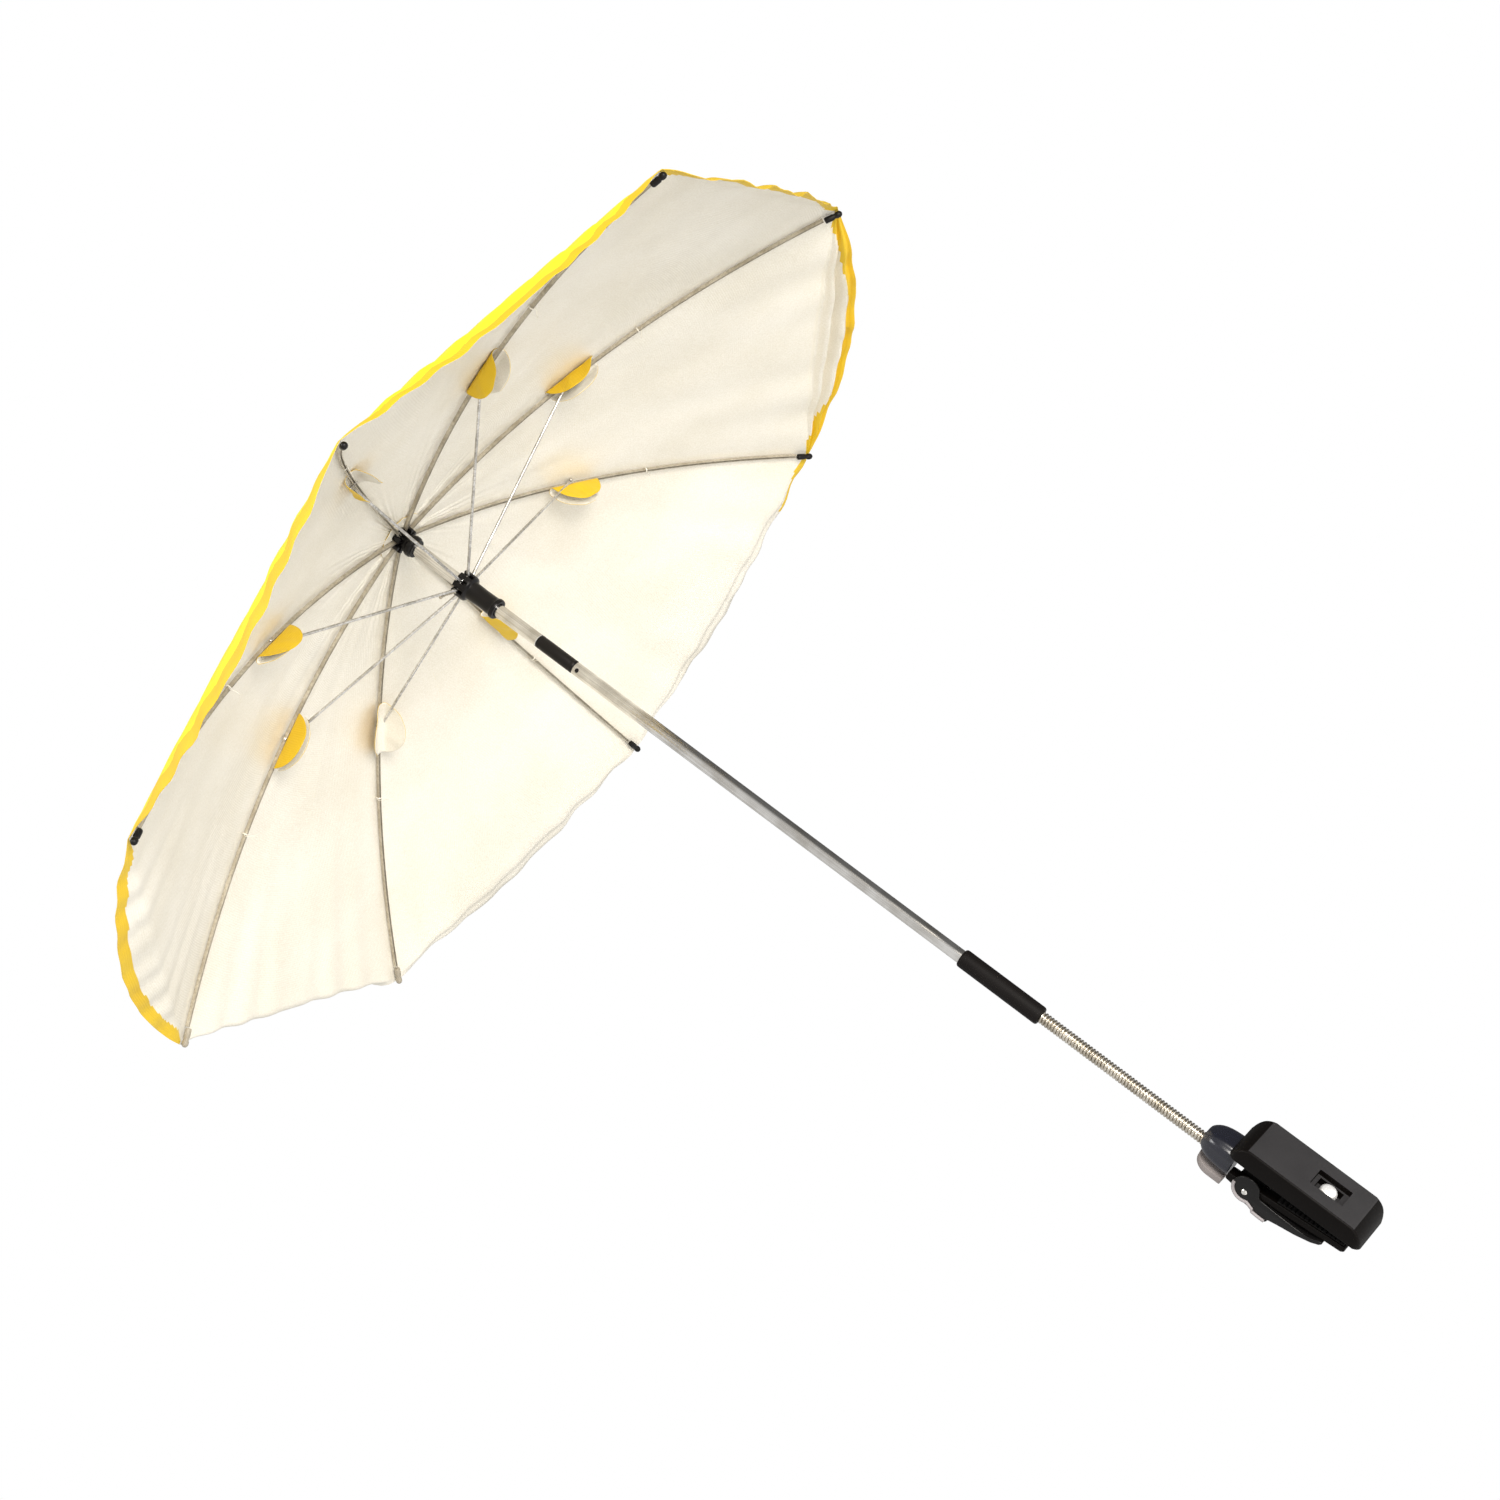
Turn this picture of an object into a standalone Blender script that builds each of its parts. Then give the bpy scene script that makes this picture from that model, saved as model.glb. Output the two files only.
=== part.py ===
"""Clip-on pushchair parasol: an eight-rib canopy on a thin pole, a gooseneck and a two-jaw clamp.

Blender 4.5, metres, +Z up.  The origin is on the face of the clamp's front pad; the pole's axis
is the vertical line x = 0, y = POLE_Y.  The canopy is open and the pole stands straight.
"""

from math import atan2, cos, hypot, pi, radians, sin

import bmesh
import bpy
from mathutils import Matrix, Vector

# ------------------------------------------------------------------ driving dimensions
GAP = 0.0003            # between pieces that touch
POLE_Y = 0.0142         # pole's axis behind the front pad's face
RIBS = 8
HALF_GORE = pi / RIBS

CROWN_Z = 0.750         # height of the ribs' pivots
CANOPY_R = 0.350        # pole axis to rib tip
RIB_SLOPE = 0.0556      # the rib drops RIB_SLOPE * r + RIB_BEND * r * r
RIB_BEND = 0.676
RIB_WIDTH = 0.0024
RIB_HEIGHT = 0.0028
RIB_WALL = 0.0006
RIB_ROOT_R = 0.0062
RIB_PIVOT_R = 0.0078
RIB_END_R = 0.3400
JOINT_R = 0.1538        # where the stretcher meets the rib
TIP_LENGTH = 0.0130
TIP_R = 0.0023
TIP_CLEAR = 0.0004      # the rib's square end leans into the cap's gap by this
TIP_DROP = 0.0012       # the cap's centre line under the rib's

WIRE_R = 0.0010         # stretcher
WIRE_INSIDE = 0.0009    # the wire's inner end reaches this far past its pivot
WIRE_OFFSET = 0.0029    # the stretcher's outer end beside the rib's middle
RUNNER_PIVOT_R = 0.0083
RUNNER_PIVOT_DROP = 0.0575

FABRIC = 0.0008
FABRIC_RISE = 0.0025    # the fabric's underside over the rib's middle line
PANEL_ROOT_R = 0.0115

TUBE_R = 0.0045
JOINER_TOP = 0.6260
JOINER_BASE = 0.5950
JOINER_R = 0.0046
TUBE_BASE = 0.2330      # foot of the lower tube, inside the sleeve
NOTCH_R = 0.0095
CROWN_HALF = 0.0045
CROWN_SLOT = 0.0054     # the ribs' slots are open outwards from this radius
COLLAR_NECK = 0.0068
COLLAR_R = 0.0076
COLLAR_LENGTH = 0.0090
FERRULE_TOP = 0.0180
FERRULE_R = 0.0142
RUNNER_HEAD_R = 0.0093
RUNNER_BARREL_R = 0.0065
RUNNER_LENGTH = 0.0343
RUNNER_SLOT = 0.0062
GROOVE_R = (0.0160, 0.3360)

SLEEVE_TOP = 0.2730
SLEEVE_BASE = 0.2113
SLEEVE_R = 0.0062
SLEEVE_BORE = 0.0048
SLEEVE_CHAMFER = 0.0010

NECK_R = 0.0041
NECK_SEGMENTS = 6
NECK_BASE = 0.0890      # lowest of the neck's bending points
NECK_CONE = radians(17)

BELL_BASE = 0.0640
BELL_BACK = 0.0070      # the bell's back behind the pole's axis
BELL_HALF = (0.0135, 0.0095)   # half widths at the foot and at the neck
BELL_ROUND = 0.0055
BACKPLATE_HALF = 0.0118
BACKPLATE_SHOULDER = 0.0740
BACKPLATE_THICK = 0.0048

JAW_HALF = 0.0188
JAW_FRONT = -0.0150
JAW_BACK = -0.0023
JAW_TOP = 0.0690
JAW_FOOT = -0.0250
JAW_ROUND = 0.0120
WINDOW_HALF = 0.0076
WINDOW_FLOOR = -0.0062
WINDOW_Z = (-0.0020, 0.0210)
BOLT_Z = 0.0095
BOLT_R = 0.0025

FRONT_PAD = (0.0320, 0.0585)    # width and height
FRONT_PAD_Z = 0.0075
PAD_HOLE_R = 0.0038
CAM_REST = (0.0140, 0.0047, 0.0180)
CAM_REST_Z = 0.0480

REAR_TILT = 0.0875      # the rear jaw leans away from the front one towards its top
REAR_FOOT_Z = -0.0180
REAR_SHOULDER_Z = 0.0340
REAR_TOP_Z = 0.0615
REAR_PAD_HALF = 0.0140
REAR_PAD_TOP = 0.0300
FORK_BASE = 0.0320
REAR_INNER = 0.0035      # inner face at REAR_LINE_Z
REAR_LINE_Z = -0.0220
REAR_PAD = 0.0014
ROCK_Y = 0.0079         # the rear jaw rocks about the bolt at this depth
REAR_THICK = 0.0045
REAR_HALF = 0.0150
PIN_Y = 0.0150
PIN_Z = 0.0490
PIN_R = 0.0020
CAM_Y = 0.0125
CAM_R = 0.0090
CAM_HALF = 0.0068       # the cam runs in the rear jaw's fork, between its ears
CHEEK_INSIDE = 0.0153   # the lever's cheeks pass outside the ears
LEVER_HALF = 0.0165
WEB_TOP = 0.0410        # the lever is open above this, and hollow down to POCKET_FOOT
POCKET_FOOT = 0.0320
WEB_Y = 0.0185

OBJECT_NAME = "clip_on_parasol"


# ------------------------------------------------------------------ scene and helpers
for old in list(bpy.data.objects):
    bpy.data.objects.remove(old, do_unlink=True)


def new_collection(name):
    collection = bpy.data.collections.new(name)
    bpy.context.scene.collection.children.link(collection)
    return collection


PARTS = new_collection(OBJECT_NAME)
CUTTERS = new_collection("cutters")


def material(name, colour, roughness, metallic=0.0):
    mat = bpy.data.materials.new(name)
    mat.use_nodes = True
    shader = mat.node_tree.nodes["Principled BSDF"]
    shader.inputs["Base Color"].default_value = (*colour, 1.0)
    shader.inputs["Roughness"].default_value = roughness
    shader.inputs["Metallic"].default_value = metallic
    return mat


STEEL = (0.62, 0.60, 0.56)
BLACK = (0.012, 0.012, 0.013)


def empty(name, location, parent=None, turn=0.0):
    holder = bpy.data.objects.new(name, None)
    PARTS.objects.link(holder)
    holder.parent = parent
    holder.location = location
    holder.rotation_euler = (0.0, 0.0, turn)
    return holder


def part(name, mesh, mat, location=(0, 0, 0), rotation=(0, 0, 0), parent=None):
    obj = bpy.data.objects.new(name, mesh)
    PARTS.objects.link(obj)
    obj.location = location
    obj.rotation_euler = rotation
    obj.parent = parent
    if not mesh.materials:
        mesh.materials.append(mat)
    return obj


def cutter(name, mesh, location=(0, 0, 0), rotation=(0, 0, 0), parent=None):
    obj = bpy.data.objects.new(name, mesh)
    CUTTERS.objects.link(obj)
    obj.location = location
    obj.rotation_euler = rotation
    obj.parent = parent
    obj.hide_render = True
    obj.display_type = "WIRE"
    return obj


def cut(obj, tool):
    boolean = obj.modifiers.new(tool.name, "BOOLEAN")
    boolean.operation = "DIFFERENCE"
    boolean.object = tool
    return boolean


def round_edges(obj, width, segments=2, angle=40):
    bevel = obj.modifiers.new("round", "BEVEL")
    bevel.width = width
    bevel.segments = segments
    bevel.limit_method = "ANGLE"
    bevel.angle_limit = radians(angle)


def box_mesh(name, size):
    mesh = bpy.data.meshes.new(name)
    bm = bmesh.new()
    bmesh.ops.create_cube(bm, size=1.0, matrix=Matrix.Diagonal((*size, 1.0)))
    bm.to_mesh(mesh)
    bm.free()
    return mesh


def rod_mesh(name, radius, length, sides=16):
    """A cylinder along Z about its own middle."""
    mesh = bpy.data.meshes.new(name)
    bm = bmesh.new()
    bmesh.ops.create_cone(bm, cap_ends=True, segments=sides, radius1=radius, radius2=radius, depth=length)
    bm.to_mesh(mesh)
    bm.free()
    mesh.shade_smooth()
    mesh.set_sharp_from_angle(angle=radians(40))
    return mesh


def turned_mesh(name, profile, sides=20):
    """A body turned about Z from (radius, height) points, top to bottom down the outside."""
    mesh = bpy.data.meshes.new(name)
    points = [(r, 0.0, z) for r, z in profile]
    edges = [(i, i + 1) for i in range(len(points) - 1)]
    if profile[0][0] > 0:
        edges.append((len(points) - 1, 0))
    mesh.from_pydata(points, edges, [])
    guide = bpy.data.objects.new(name + "_profile", mesh)
    CUTTERS.objects.link(guide)
    screw = guide.modifiers.new("turn", "SCREW")
    screw.steps = sides
    screw.render_steps = sides
    screw.use_merge_vertices = True
    screw.merge_threshold = 0.00002
    return baked(guide, name, smooth=40)


def plate_mesh(name, outline, half):
    """A flat outline of (y, z) points with a thickness of 2 * half along X."""
    curve = bpy.data.curves.new(name, "CURVE")
    curve.dimensions = "2D"
    curve.fill_mode = "BOTH"
    curve.extrude = half
    spline = curve.splines.new("POLY")
    spline.points.add(len(outline) - 1)
    for point, (y, z) in zip(spline.points, outline):
        point.co = (y, z, 0.0, 1.0)
    spline.use_cyclic_u = True
    guide = bpy.data.objects.new(name + "_outline", curve)
    CUTTERS.objects.link(guide)
    mesh = baked(guide, name)
    # the curve's own axes (x, y, z) stand for the part's (y, z, x)
    mesh.transform(Matrix(((0, 0, 1, 0), (1, 0, 0, 0), (0, 1, 0, 0), (0, 0, 0, 1))))
    return mesh


def baked(guide, name, smooth=None):
    """The guide's evaluated shape as a plain mesh; the guide goes."""
    depsgraph = bpy.context.evaluated_depsgraph_get()
    mesh = bpy.data.meshes.new_from_object(guide.evaluated_get(depsgraph))
    bm = bmesh.new()
    bm.from_mesh(mesh)
    bmesh.ops.remove_doubles(bm, verts=bm.verts, dist=0.00001)
    bmesh.ops.recalc_face_normals(bm, faces=bm.faces)
    bm.to_mesh(mesh)
    bm.free()
    mesh.name = name
    if smooth:
        mesh.shade_smooth()
        mesh.set_sharp_from_angle(angle=radians(smooth))
    bpy.data.objects.remove(guide, do_unlink=True)
    return mesh


def arc(centre, radius, start, end, steps):
    """Points on a circle from start to end degrees."""
    angles = [radians(start + (end - start) * i / steps) for i in range(steps + 1)]
    return [(centre[0] + radius * cos(a), centre[1] + radius * sin(a)) for a in angles]


# ------------------------------------------------------------------ canopy's lines
def rib_z(r):
    """Height of the rib's middle line against the crown's pivots."""
    return -RIB_SLOPE * r - RIB_BEND * r * r


def rib_tangent(r):
    return atan2(-(RIB_SLOPE + 2 * RIB_BEND * r), 1.0)


POLE_FROM_RIB = (0, -RIB_PIVOT_R, 0)      # ribs, tips and panels are drawn from the pole's axis


def rib_strip(r_from, r_to, over, under, steps=8):
    """Side outline of a strip that follows the rib, over and under its middle line."""
    stations = [r_from + (r_to - r_from) * i / steps for i in range(steps + 1)]
    top = [(r - sin(rib_tangent(r)) * over, rib_z(r) + cos(rib_tangent(r)) * over) for r in stations]
    base = [(r + sin(rib_tangent(r)) * under, rib_z(r) - cos(rib_tangent(r)) * under) for r in stations]
    return top + base[::-1]


pole = empty("pole_axis", (0, POLE_Y, 0))
crown = empty("crown_height", (0, 0, CROWN_Z), pole)


def pivot_ring(name, radius, drop):
    """One empty on each pivot of a ring, with its Y axis outwards and its X axis across."""
    turns = [pi + k * 2 * HALF_GORE for k in range(RIBS)]
    return [empty(f"{name}_{k + 1}", (-sin(a) * radius, cos(a) * radius, -drop), crown, a)
            for k, a in enumerate(turns)]


rib_pivots = pivot_ring("rib_pivot", RIB_PIVOT_R, 0.0)
stretcher_pivots = pivot_ring("stretcher_pivot", RUNNER_PIVOT_R, RUNNER_PIVOT_DROP)


# ------------------------------------------------------------------ pole
def make_pole():
    chrome = material("chromed tube", STEEL, 0.18, 1.0)
    black = material("black band", BLACK, 0.45)
    top = CROWN_Z + CROWN_HALF
    upper = rod_mesh("upper_tube", TUBE_R, top - JOINER_TOP - GAP, 24)
    part("upper_tube", upper, chrome, (0, 0, (top + JOINER_TOP + GAP) / 2), parent=pole)
    band = turned_mesh("tube_joiner", [
        (0, JOINER_TOP), (JOINER_R - 0.0003, JOINER_TOP), (JOINER_R, JOINER_TOP - 0.0006),
        (JOINER_R, JOINER_BASE + 0.0006), (JOINER_R - 0.0003, JOINER_BASE), (0, JOINER_BASE)], 24)
    part("tube_joiner", band, black, parent=pole)
    lower = rod_mesh("lower_tube", TUBE_R, JOINER_BASE - GAP - TUBE_BASE, 24)
    part("lower_tube", lower, chrome, (0, 0, (JOINER_BASE - GAP + TUBE_BASE) / 2), parent=pole)


def notched(name, mesh, mat, slot_width, slot_floor, slot_height, slot_z, parent):
    """A turned piece with one open slot for each rib or stretcher."""
    obj = part(name, mesh, mat, parent=parent)
    depth = 0.010
    slot = box_mesh(name + "_slot", (slot_width, depth, slot_height))
    for k in range(RIBS):
        turn = pi + k * 2 * HALF_GORE
        reach = slot_floor + depth / 2
        place = (-sin(turn) * reach, cos(turn) * reach, slot_z)
        cut(obj, cutter(f"{name}_slot_{k + 1}", slot, place, (0, 0, turn), parent))
    return obj


def make_crown():
    black = material("crown plastic", BLACK, 0.38)
    bore = TUBE_R + GAP
    top, base = CROWN_HALF, -CROWN_HALF
    ring = turned_mesh("crown_notch", [
        (bore, top), (NOTCH_R - 0.0008, top), (NOTCH_R, top - 0.0008),
        (NOTCH_R, base + 0.0008), (NOTCH_R - 0.0008, base), (bore, base)], 32)
    notched("crown_notch", ring, black, RIB_WIDTH + 0.0008, CROWN_SLOT, 0.020, 0.0, crown)
    base = -CROWN_HALF - GAP
    collar = turned_mesh("crown_collar", [
        (bore, base), (COLLAR_NECK, base), (COLLAR_NECK, base - 0.0030), (COLLAR_R, base - 0.0038),
        (COLLAR_R, base - COLLAR_LENGTH + 0.0010), (COLLAR_NECK, base - COLLAR_LENGTH),
        (bore, base - COLLAR_LENGTH)])
    part("crown_collar", collar, material("collar plastic", BLACK, 0.42), parent=crown)
    cap = turned_mesh("crown_cap", [
        (0, FERRULE_TOP), (0.0022, FERRULE_TOP - 0.0006), (0.0034, FERRULE_TOP - 0.0025), (0.0042, 0.0090),
        (0.0100, 0.0072), (FERRULE_R, 0.0046), (FERRULE_R, 0.0037), (0.0112, 0.0039), (0.0104, 0.0049),
        (0, 0.0049)])
    part("crown_cap", cap, material("cap plastic", BLACK, 0.35), parent=crown)


def make_runner():
    black = material("runner plastic", BLACK, 0.36)
    bore = TUBE_R + 0.0005
    top = -RUNNER_PIVOT_DROP + 0.0045
    barrel = turned_mesh("runner", [
        (bore, top), (RUNNER_HEAD_R - 0.0008, top), (RUNNER_HEAD_R, top - 0.0008),
        (RUNNER_HEAD_R, top - 0.0082), (RUNNER_HEAD_R - 0.0008, top - 0.0090),
        (RUNNER_BARREL_R, top - 0.0105), (RUNNER_BARREL_R, top - RUNNER_LENGTH + 0.0033),
        (RUNNER_BARREL_R + 0.0008, top - RUNNER_LENGTH + 0.0025),
        (RUNNER_BARREL_R + 0.0008, top - RUNNER_LENGTH + 0.0005),
        (RUNNER_BARREL_R + 0.0003, top - RUNNER_LENGTH), (bore, top - RUNNER_LENGTH)], 32)
    notched("runner", barrel, black, 2 * WIRE_R + 0.0008, RUNNER_SLOT, 0.0200, top, crown)


# ------------------------------------------------------------------ ribs, stretchers, tips
def make_ribs():
    steel = material("rib steel", (0.45, 0.43, 0.40), 0.35, 1.0)
    half = RIB_HEIGHT / 2
    bar = plate_mesh("rib", rib_strip(RIB_ROOT_R, RIB_END_R, half, half), RIB_WIDTH / 2)
    groove = plate_mesh("rib_groove", rib_strip(*GROOVE_R, half - RIB_WALL, half + 0.001),
                        RIB_WIDTH / 2 - RIB_WALL)
    for k, pivot in enumerate(rib_pivots):
        rib = part(f"rib_{k + 1}", bar, steel, POLE_FROM_RIB, parent=pivot)
        cut(rib, cutter(f"rib_groove_{k + 1}", groove, POLE_FROM_RIB, parent=pivot))


def make_stretchers():
    steel = material("stretcher wire", (0.66, 0.64, 0.60), 0.25, 1.0)
    end = Vector((WIRE_OFFSET, JOINT_R - RUNNER_PIVOT_R, rib_z(JOINT_R) + RUNNER_PIVOT_DROP))
    start = end.normalized() * -WIRE_INSIDE
    rod = rod_mesh("stretcher", WIRE_R, (end - start).length + WIRE_R, 8)
    along = (end - start).normalized()
    middle = (start + end + along * WIRE_R) / 2
    spin = Vector((0, 0, 1)).rotation_difference(along).to_euler()
    for k, pivot in enumerate(stretcher_pivots):
        part(f"stretcher_{k + 1}", rod, steel, middle, spin, pivot)


def make_tips():
    black = material("tip plastic", BLACK, 0.4)
    capsule = turned_mesh("tip", [
        (0, TIP_LENGTH), (0.0014, TIP_LENGTH - 0.0003), (TIP_R, TIP_LENGTH - 0.0016),
        (TIP_R, 0.0008), (TIP_R - 0.0004, 0), (0, 0)], 12)
    slope = rib_tangent(RIB_END_R)
    end = RIB_END_R - RIB_PIVOT_R + GAP + TIP_CLEAR
    place = (0, end + sin(slope) * TIP_DROP, rib_z(RIB_END_R) - cos(slope) * TIP_DROP)
    for k, pivot in enumerate(rib_pivots):
        part(f"rib_tip_{k + 1}", capsule, black, place, (slope - pi / 2, 0, 0), pivot)


def make_panels():
    """One fabric panel on each rib, out to the folds half way to its neighbours."""
    yellow = material("coated fabric", (0.75, 0.55, 0.03), 0.6)
    across, along = 4, 8
    lean = sin(HALF_GORE) ** 2          # a taut chord runs straight from rib to rib
    side = sin(HALF_GORE) * cos(HALF_GORE)
    mesh = bpy.data.meshes.new("canopy_panel")
    bm = bmesh.new()
    bmesh.ops.create_grid(bm, x_segments=across, y_segments=along, size=1.0)
    for vert in bm.verts:
        t, s = vert.co.x, (vert.co.y + 1) / 2
        hem = CANOPY_R / hypot(1 - lean * abs(t), side * t)
        r = PANEL_ROOT_R + (hem - PANEL_ROOT_R) * s
        x = side * r * t
        x -= GAP / 2 * (t > 0.99) - GAP / 2 * (t < -0.99)
        vert.co = (x, r * (1 - lean * abs(t)), rib_z(r) + FABRIC_RISE)
    bm.to_mesh(mesh)
    bm.free()
    for k, pivot in enumerate(rib_pivots):
        panel = part(f"canopy_panel_{k + 1}", mesh, yellow, POLE_FROM_RIB, parent=pivot)
        shell = panel.modifiers.new("thickness", "SOLIDIFY")
        shell.thickness = FABRIC
        shell.offset = 1.0


# ------------------------------------------------------------------ sleeve and gooseneck
NECK_PITCH = (SLEEVE_BASE - NECK_BASE) / NECK_SEGMENTS
bends = [empty(f"neck_bend_{k + 1}", (0, 0, NECK_BASE + k * NECK_PITCH), pole) for k in range(NECK_SEGMENTS)]


def make_sleeve():
    foot = NECK_PITCH                     # over the last bending point
    seat, top = foot + TUBE_BASE - GAP - SLEEVE_BASE, foot + SLEEVE_TOP - SLEEVE_BASE
    rim = SLEEVE_R - SLEEVE_CHAMFER
    profile = [(0, seat), (SLEEVE_BORE, seat), (SLEEVE_BORE, top), (rim, top),
               (SLEEVE_R, top - SLEEVE_CHAMFER), (SLEEVE_R, foot + SLEEVE_CHAMFER), (rim, foot), (0, foot)]
    part("socket_sleeve", turned_mesh("socket_sleeve", profile, 24),
         material("sleeve rubber", (0.016, 0.016, 0.017), 0.6), parent=bends[-1])


def make_neck():
    nickel = material("gooseneck nickel", (0.55, 0.50, 0.42), 0.3, 1.0)
    cone = NECK_R * sin(NECK_CONE) / cos(NECK_CONE)
    top = NECK_PITCH - GAP
    for k, bend in enumerate(bends):
        shoulder = top if k == NECK_SEGMENTS - 1 else top - cone
        profile = [(0, top), (NECK_R, shoulder), (NECK_R, GAP + cone), (0, GAP)]
        part(f"gooseneck_{k + 1}", turned_mesh(f"gooseneck_{k + 1}", profile, 16), nickel, parent=bend)


# ------------------------------------------------------------------ clamp
def make_knuckle():
    gloss = material("knuckle gloss", (0.010, 0.011, 0.015), 0.15)
    mesh = bpy.data.meshes.new("knuckle_bell")
    bm = bmesh.new()
    bmesh.ops.create_cube(bm, size=1.0)
    base, top = BELL_BASE, NECK_BASE - 0.0008
    front, back = JAW_BACK + GAP, POLE_Y + BELL_BACK
    for vert in bm.verts:
        upper = vert.co.z > 0
        half = BELL_HALF[1] if upper else BELL_HALF[0]
        y_front = front + (0.0030 if upper else 0)
        y_back = back - (0.0015 if upper else 0)
        vert.co.x *= 2 * half
        vert.co.y = y_back if vert.co.y > 0 else y_front
        vert.co.z = top if upper else base
    bm.to_mesh(mesh)
    bm.free()
    bell = part("knuckle_bell", mesh, gloss)
    round_edges(bell, BELL_ROUND, 4, 20)
    mesh.shade_smooth()
    mesh.set_sharp_from_angle(angle=radians(50))

    half, shoulder = BACKPLATE_HALF, BACKPLATE_SHOULDER
    outline = [(-half, base + 0.0006), (half, base + 0.0006), (half, shoulder)]
    outline += arc((0, shoulder), half, 12, 168, 8) + [(-half, shoulder)]
    plate = plate_mesh("knuckle_backplate", outline, BACKPLATE_THICK / 2)
    place = (0, back + GAP + BACKPLATE_THICK / 2, 0)
    part("knuckle_backplate", plate, material("backplate plastic", (0.09, 0.09, 0.095), 0.55),
         place, (0, 0, -pi / 2))


def make_front_jaw():
    matte = material("jaw plastic", (0.022, 0.022, 0.024), 0.5)
    r = JAW_ROUND
    outline = [(JAW_BACK, JAW_FOOT + 0.002), (JAW_BACK, JAW_TOP - 0.002), (JAW_BACK - 0.0012, JAW_TOP)]
    outline += arc((JAW_FRONT + r, JAW_TOP - r - 0.001), r, 96, 180, 6)
    outline += arc((JAW_FRONT + r, JAW_FOOT + r + 0.001), r, 180, 264, 6)
    outline += [(JAW_BACK - 0.0012, JAW_FOOT)]
    jaw = part("jaw_front", plate_mesh("jaw_front", outline, JAW_HALF), matte)
    round_edges(jaw, 0.0022, 2)
    low, high = WINDOW_Z
    front = JAW_FRONT - 0.002
    window = box_mesh("window", (2 * WINDOW_HALF, WINDOW_FLOOR - front, high - low))
    cut(jaw, cutter("window", window, (0, (WINDOW_FLOOR + front) / 2, (low + high) / 2)))
    hole = rod_mesh("front_hole", BOLT_R + 0.0005, 0.010)
    cut(jaw, cutter("front_hole", hole, (0, JAW_BACK, BOLT_Z), (pi / 2, 0, 0)))

    rubber = material("pad rubber", (0.010, 0.010, 0.010), 0.8)
    thick = -JAW_BACK - GAP
    width, height = FRONT_PAD
    pad = part("pad_front", box_mesh("pad_front", (width, thick, height)), rubber, (0, -thick / 2, FRONT_PAD_Z))
    hole = rod_mesh("pad_hole", PAD_HOLE_R, 0.010)
    cut(pad, cutter("pad_hole", hole, (0, 0, BOLT_Z), (pi / 2, 0, 0)))

    rest = part("cam_rest", box_mesh("cam_rest", CAM_REST), matte,
                (0, JAW_BACK + GAP + CAM_REST[1] / 2, CAM_REST_Z))
    round_edges(rest, 0.0006, 1)


rock_axis = empty("rock_axis", (0, ROCK_Y, BOLT_Z))
lever_axis = empty("lever_axis", (0, PIN_Y - ROCK_Y, PIN_Z - BOLT_Z), rock_axis)
FROM_ROCK = (0, -ROCK_Y, -BOLT_Z)         # the rear jaw is drawn from the part's origin
FROM_LEVER = (0, -PIN_Y, -PIN_Z)


def rear_line(z):
    """Y of the rear jaw's inner face."""
    return REAR_INNER + (z - REAR_LINE_Z) * REAR_TILT


def make_rear_jaw():
    matte = material("rear jaw plastic", (0.018, 0.018, 0.019), 0.45)
    foot, shoulder, top = REAR_FOOT_Z, REAR_SHOULDER_Z, REAR_TOP_Z
    outline = [(rear_line(foot), foot + 0.002), (rear_line(top), top), (rear_line(top) + 0.006, top),
               (PIN_Y + 0.0042, PIN_Z + 0.0040), (PIN_Y + 0.0050, PIN_Z - 0.0010),
               (PIN_Y + 0.0030, PIN_Z - 0.0055), (rear_line(shoulder) + REAR_THICK, shoulder),
               (rear_line(foot) + REAR_THICK, foot + 0.002), (rear_line(foot) + 0.002, foot)]
    jaw = part("jaw_rear", plate_mesh("jaw_rear", outline, REAR_HALF), matte, FROM_ROCK, parent=rock_axis)
    tall = 0.048
    fork = box_mesh("fork_slot", (2 * CAM_HALF + 0.0010, 0.040, tall))
    cut(jaw, cutter("fork_slot", fork, (0, 0.012, FORK_BASE + tall / 2)))
    hole = rod_mesh("rear_hole", BOLT_R + 0.0013, 0.030)
    cut(jaw, cutter("rear_hole", hole, (0, 0.010, BOLT_Z), (pi / 2, 0, 0)))
    hole = rod_mesh("ear_hole", PIN_R + GAP, 0.040)
    cut(jaw, cutter("ear_hole", hole, (0, PIN_Y, PIN_Z), (0, pi / 2, 0)))

    rubber = material("rear pad rubber", (0.010, 0.010, 0.010), 0.8)
    low, high = REAR_FOOT_Z + 0.002, REAR_PAD_TOP
    strip = [(rear_line(low) - REAR_PAD, low), (rear_line(high) - REAR_PAD, high)]
    strip += [(rear_line(high) - GAP, high), (rear_line(low) - GAP, low)]
    pad = part("pad_rear", plate_mesh("pad_rear", strip[::-1], REAR_PAD_HALF), rubber, FROM_ROCK, parent=rock_axis)
    hole = rod_mesh("rear_pad_hole", PAD_HOLE_R, 0.030)
    cut(pad, cutter("rear_pad_hole", hole, (0, 0.010, BOLT_Z), (pi / 2, 0, 0)))


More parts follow.
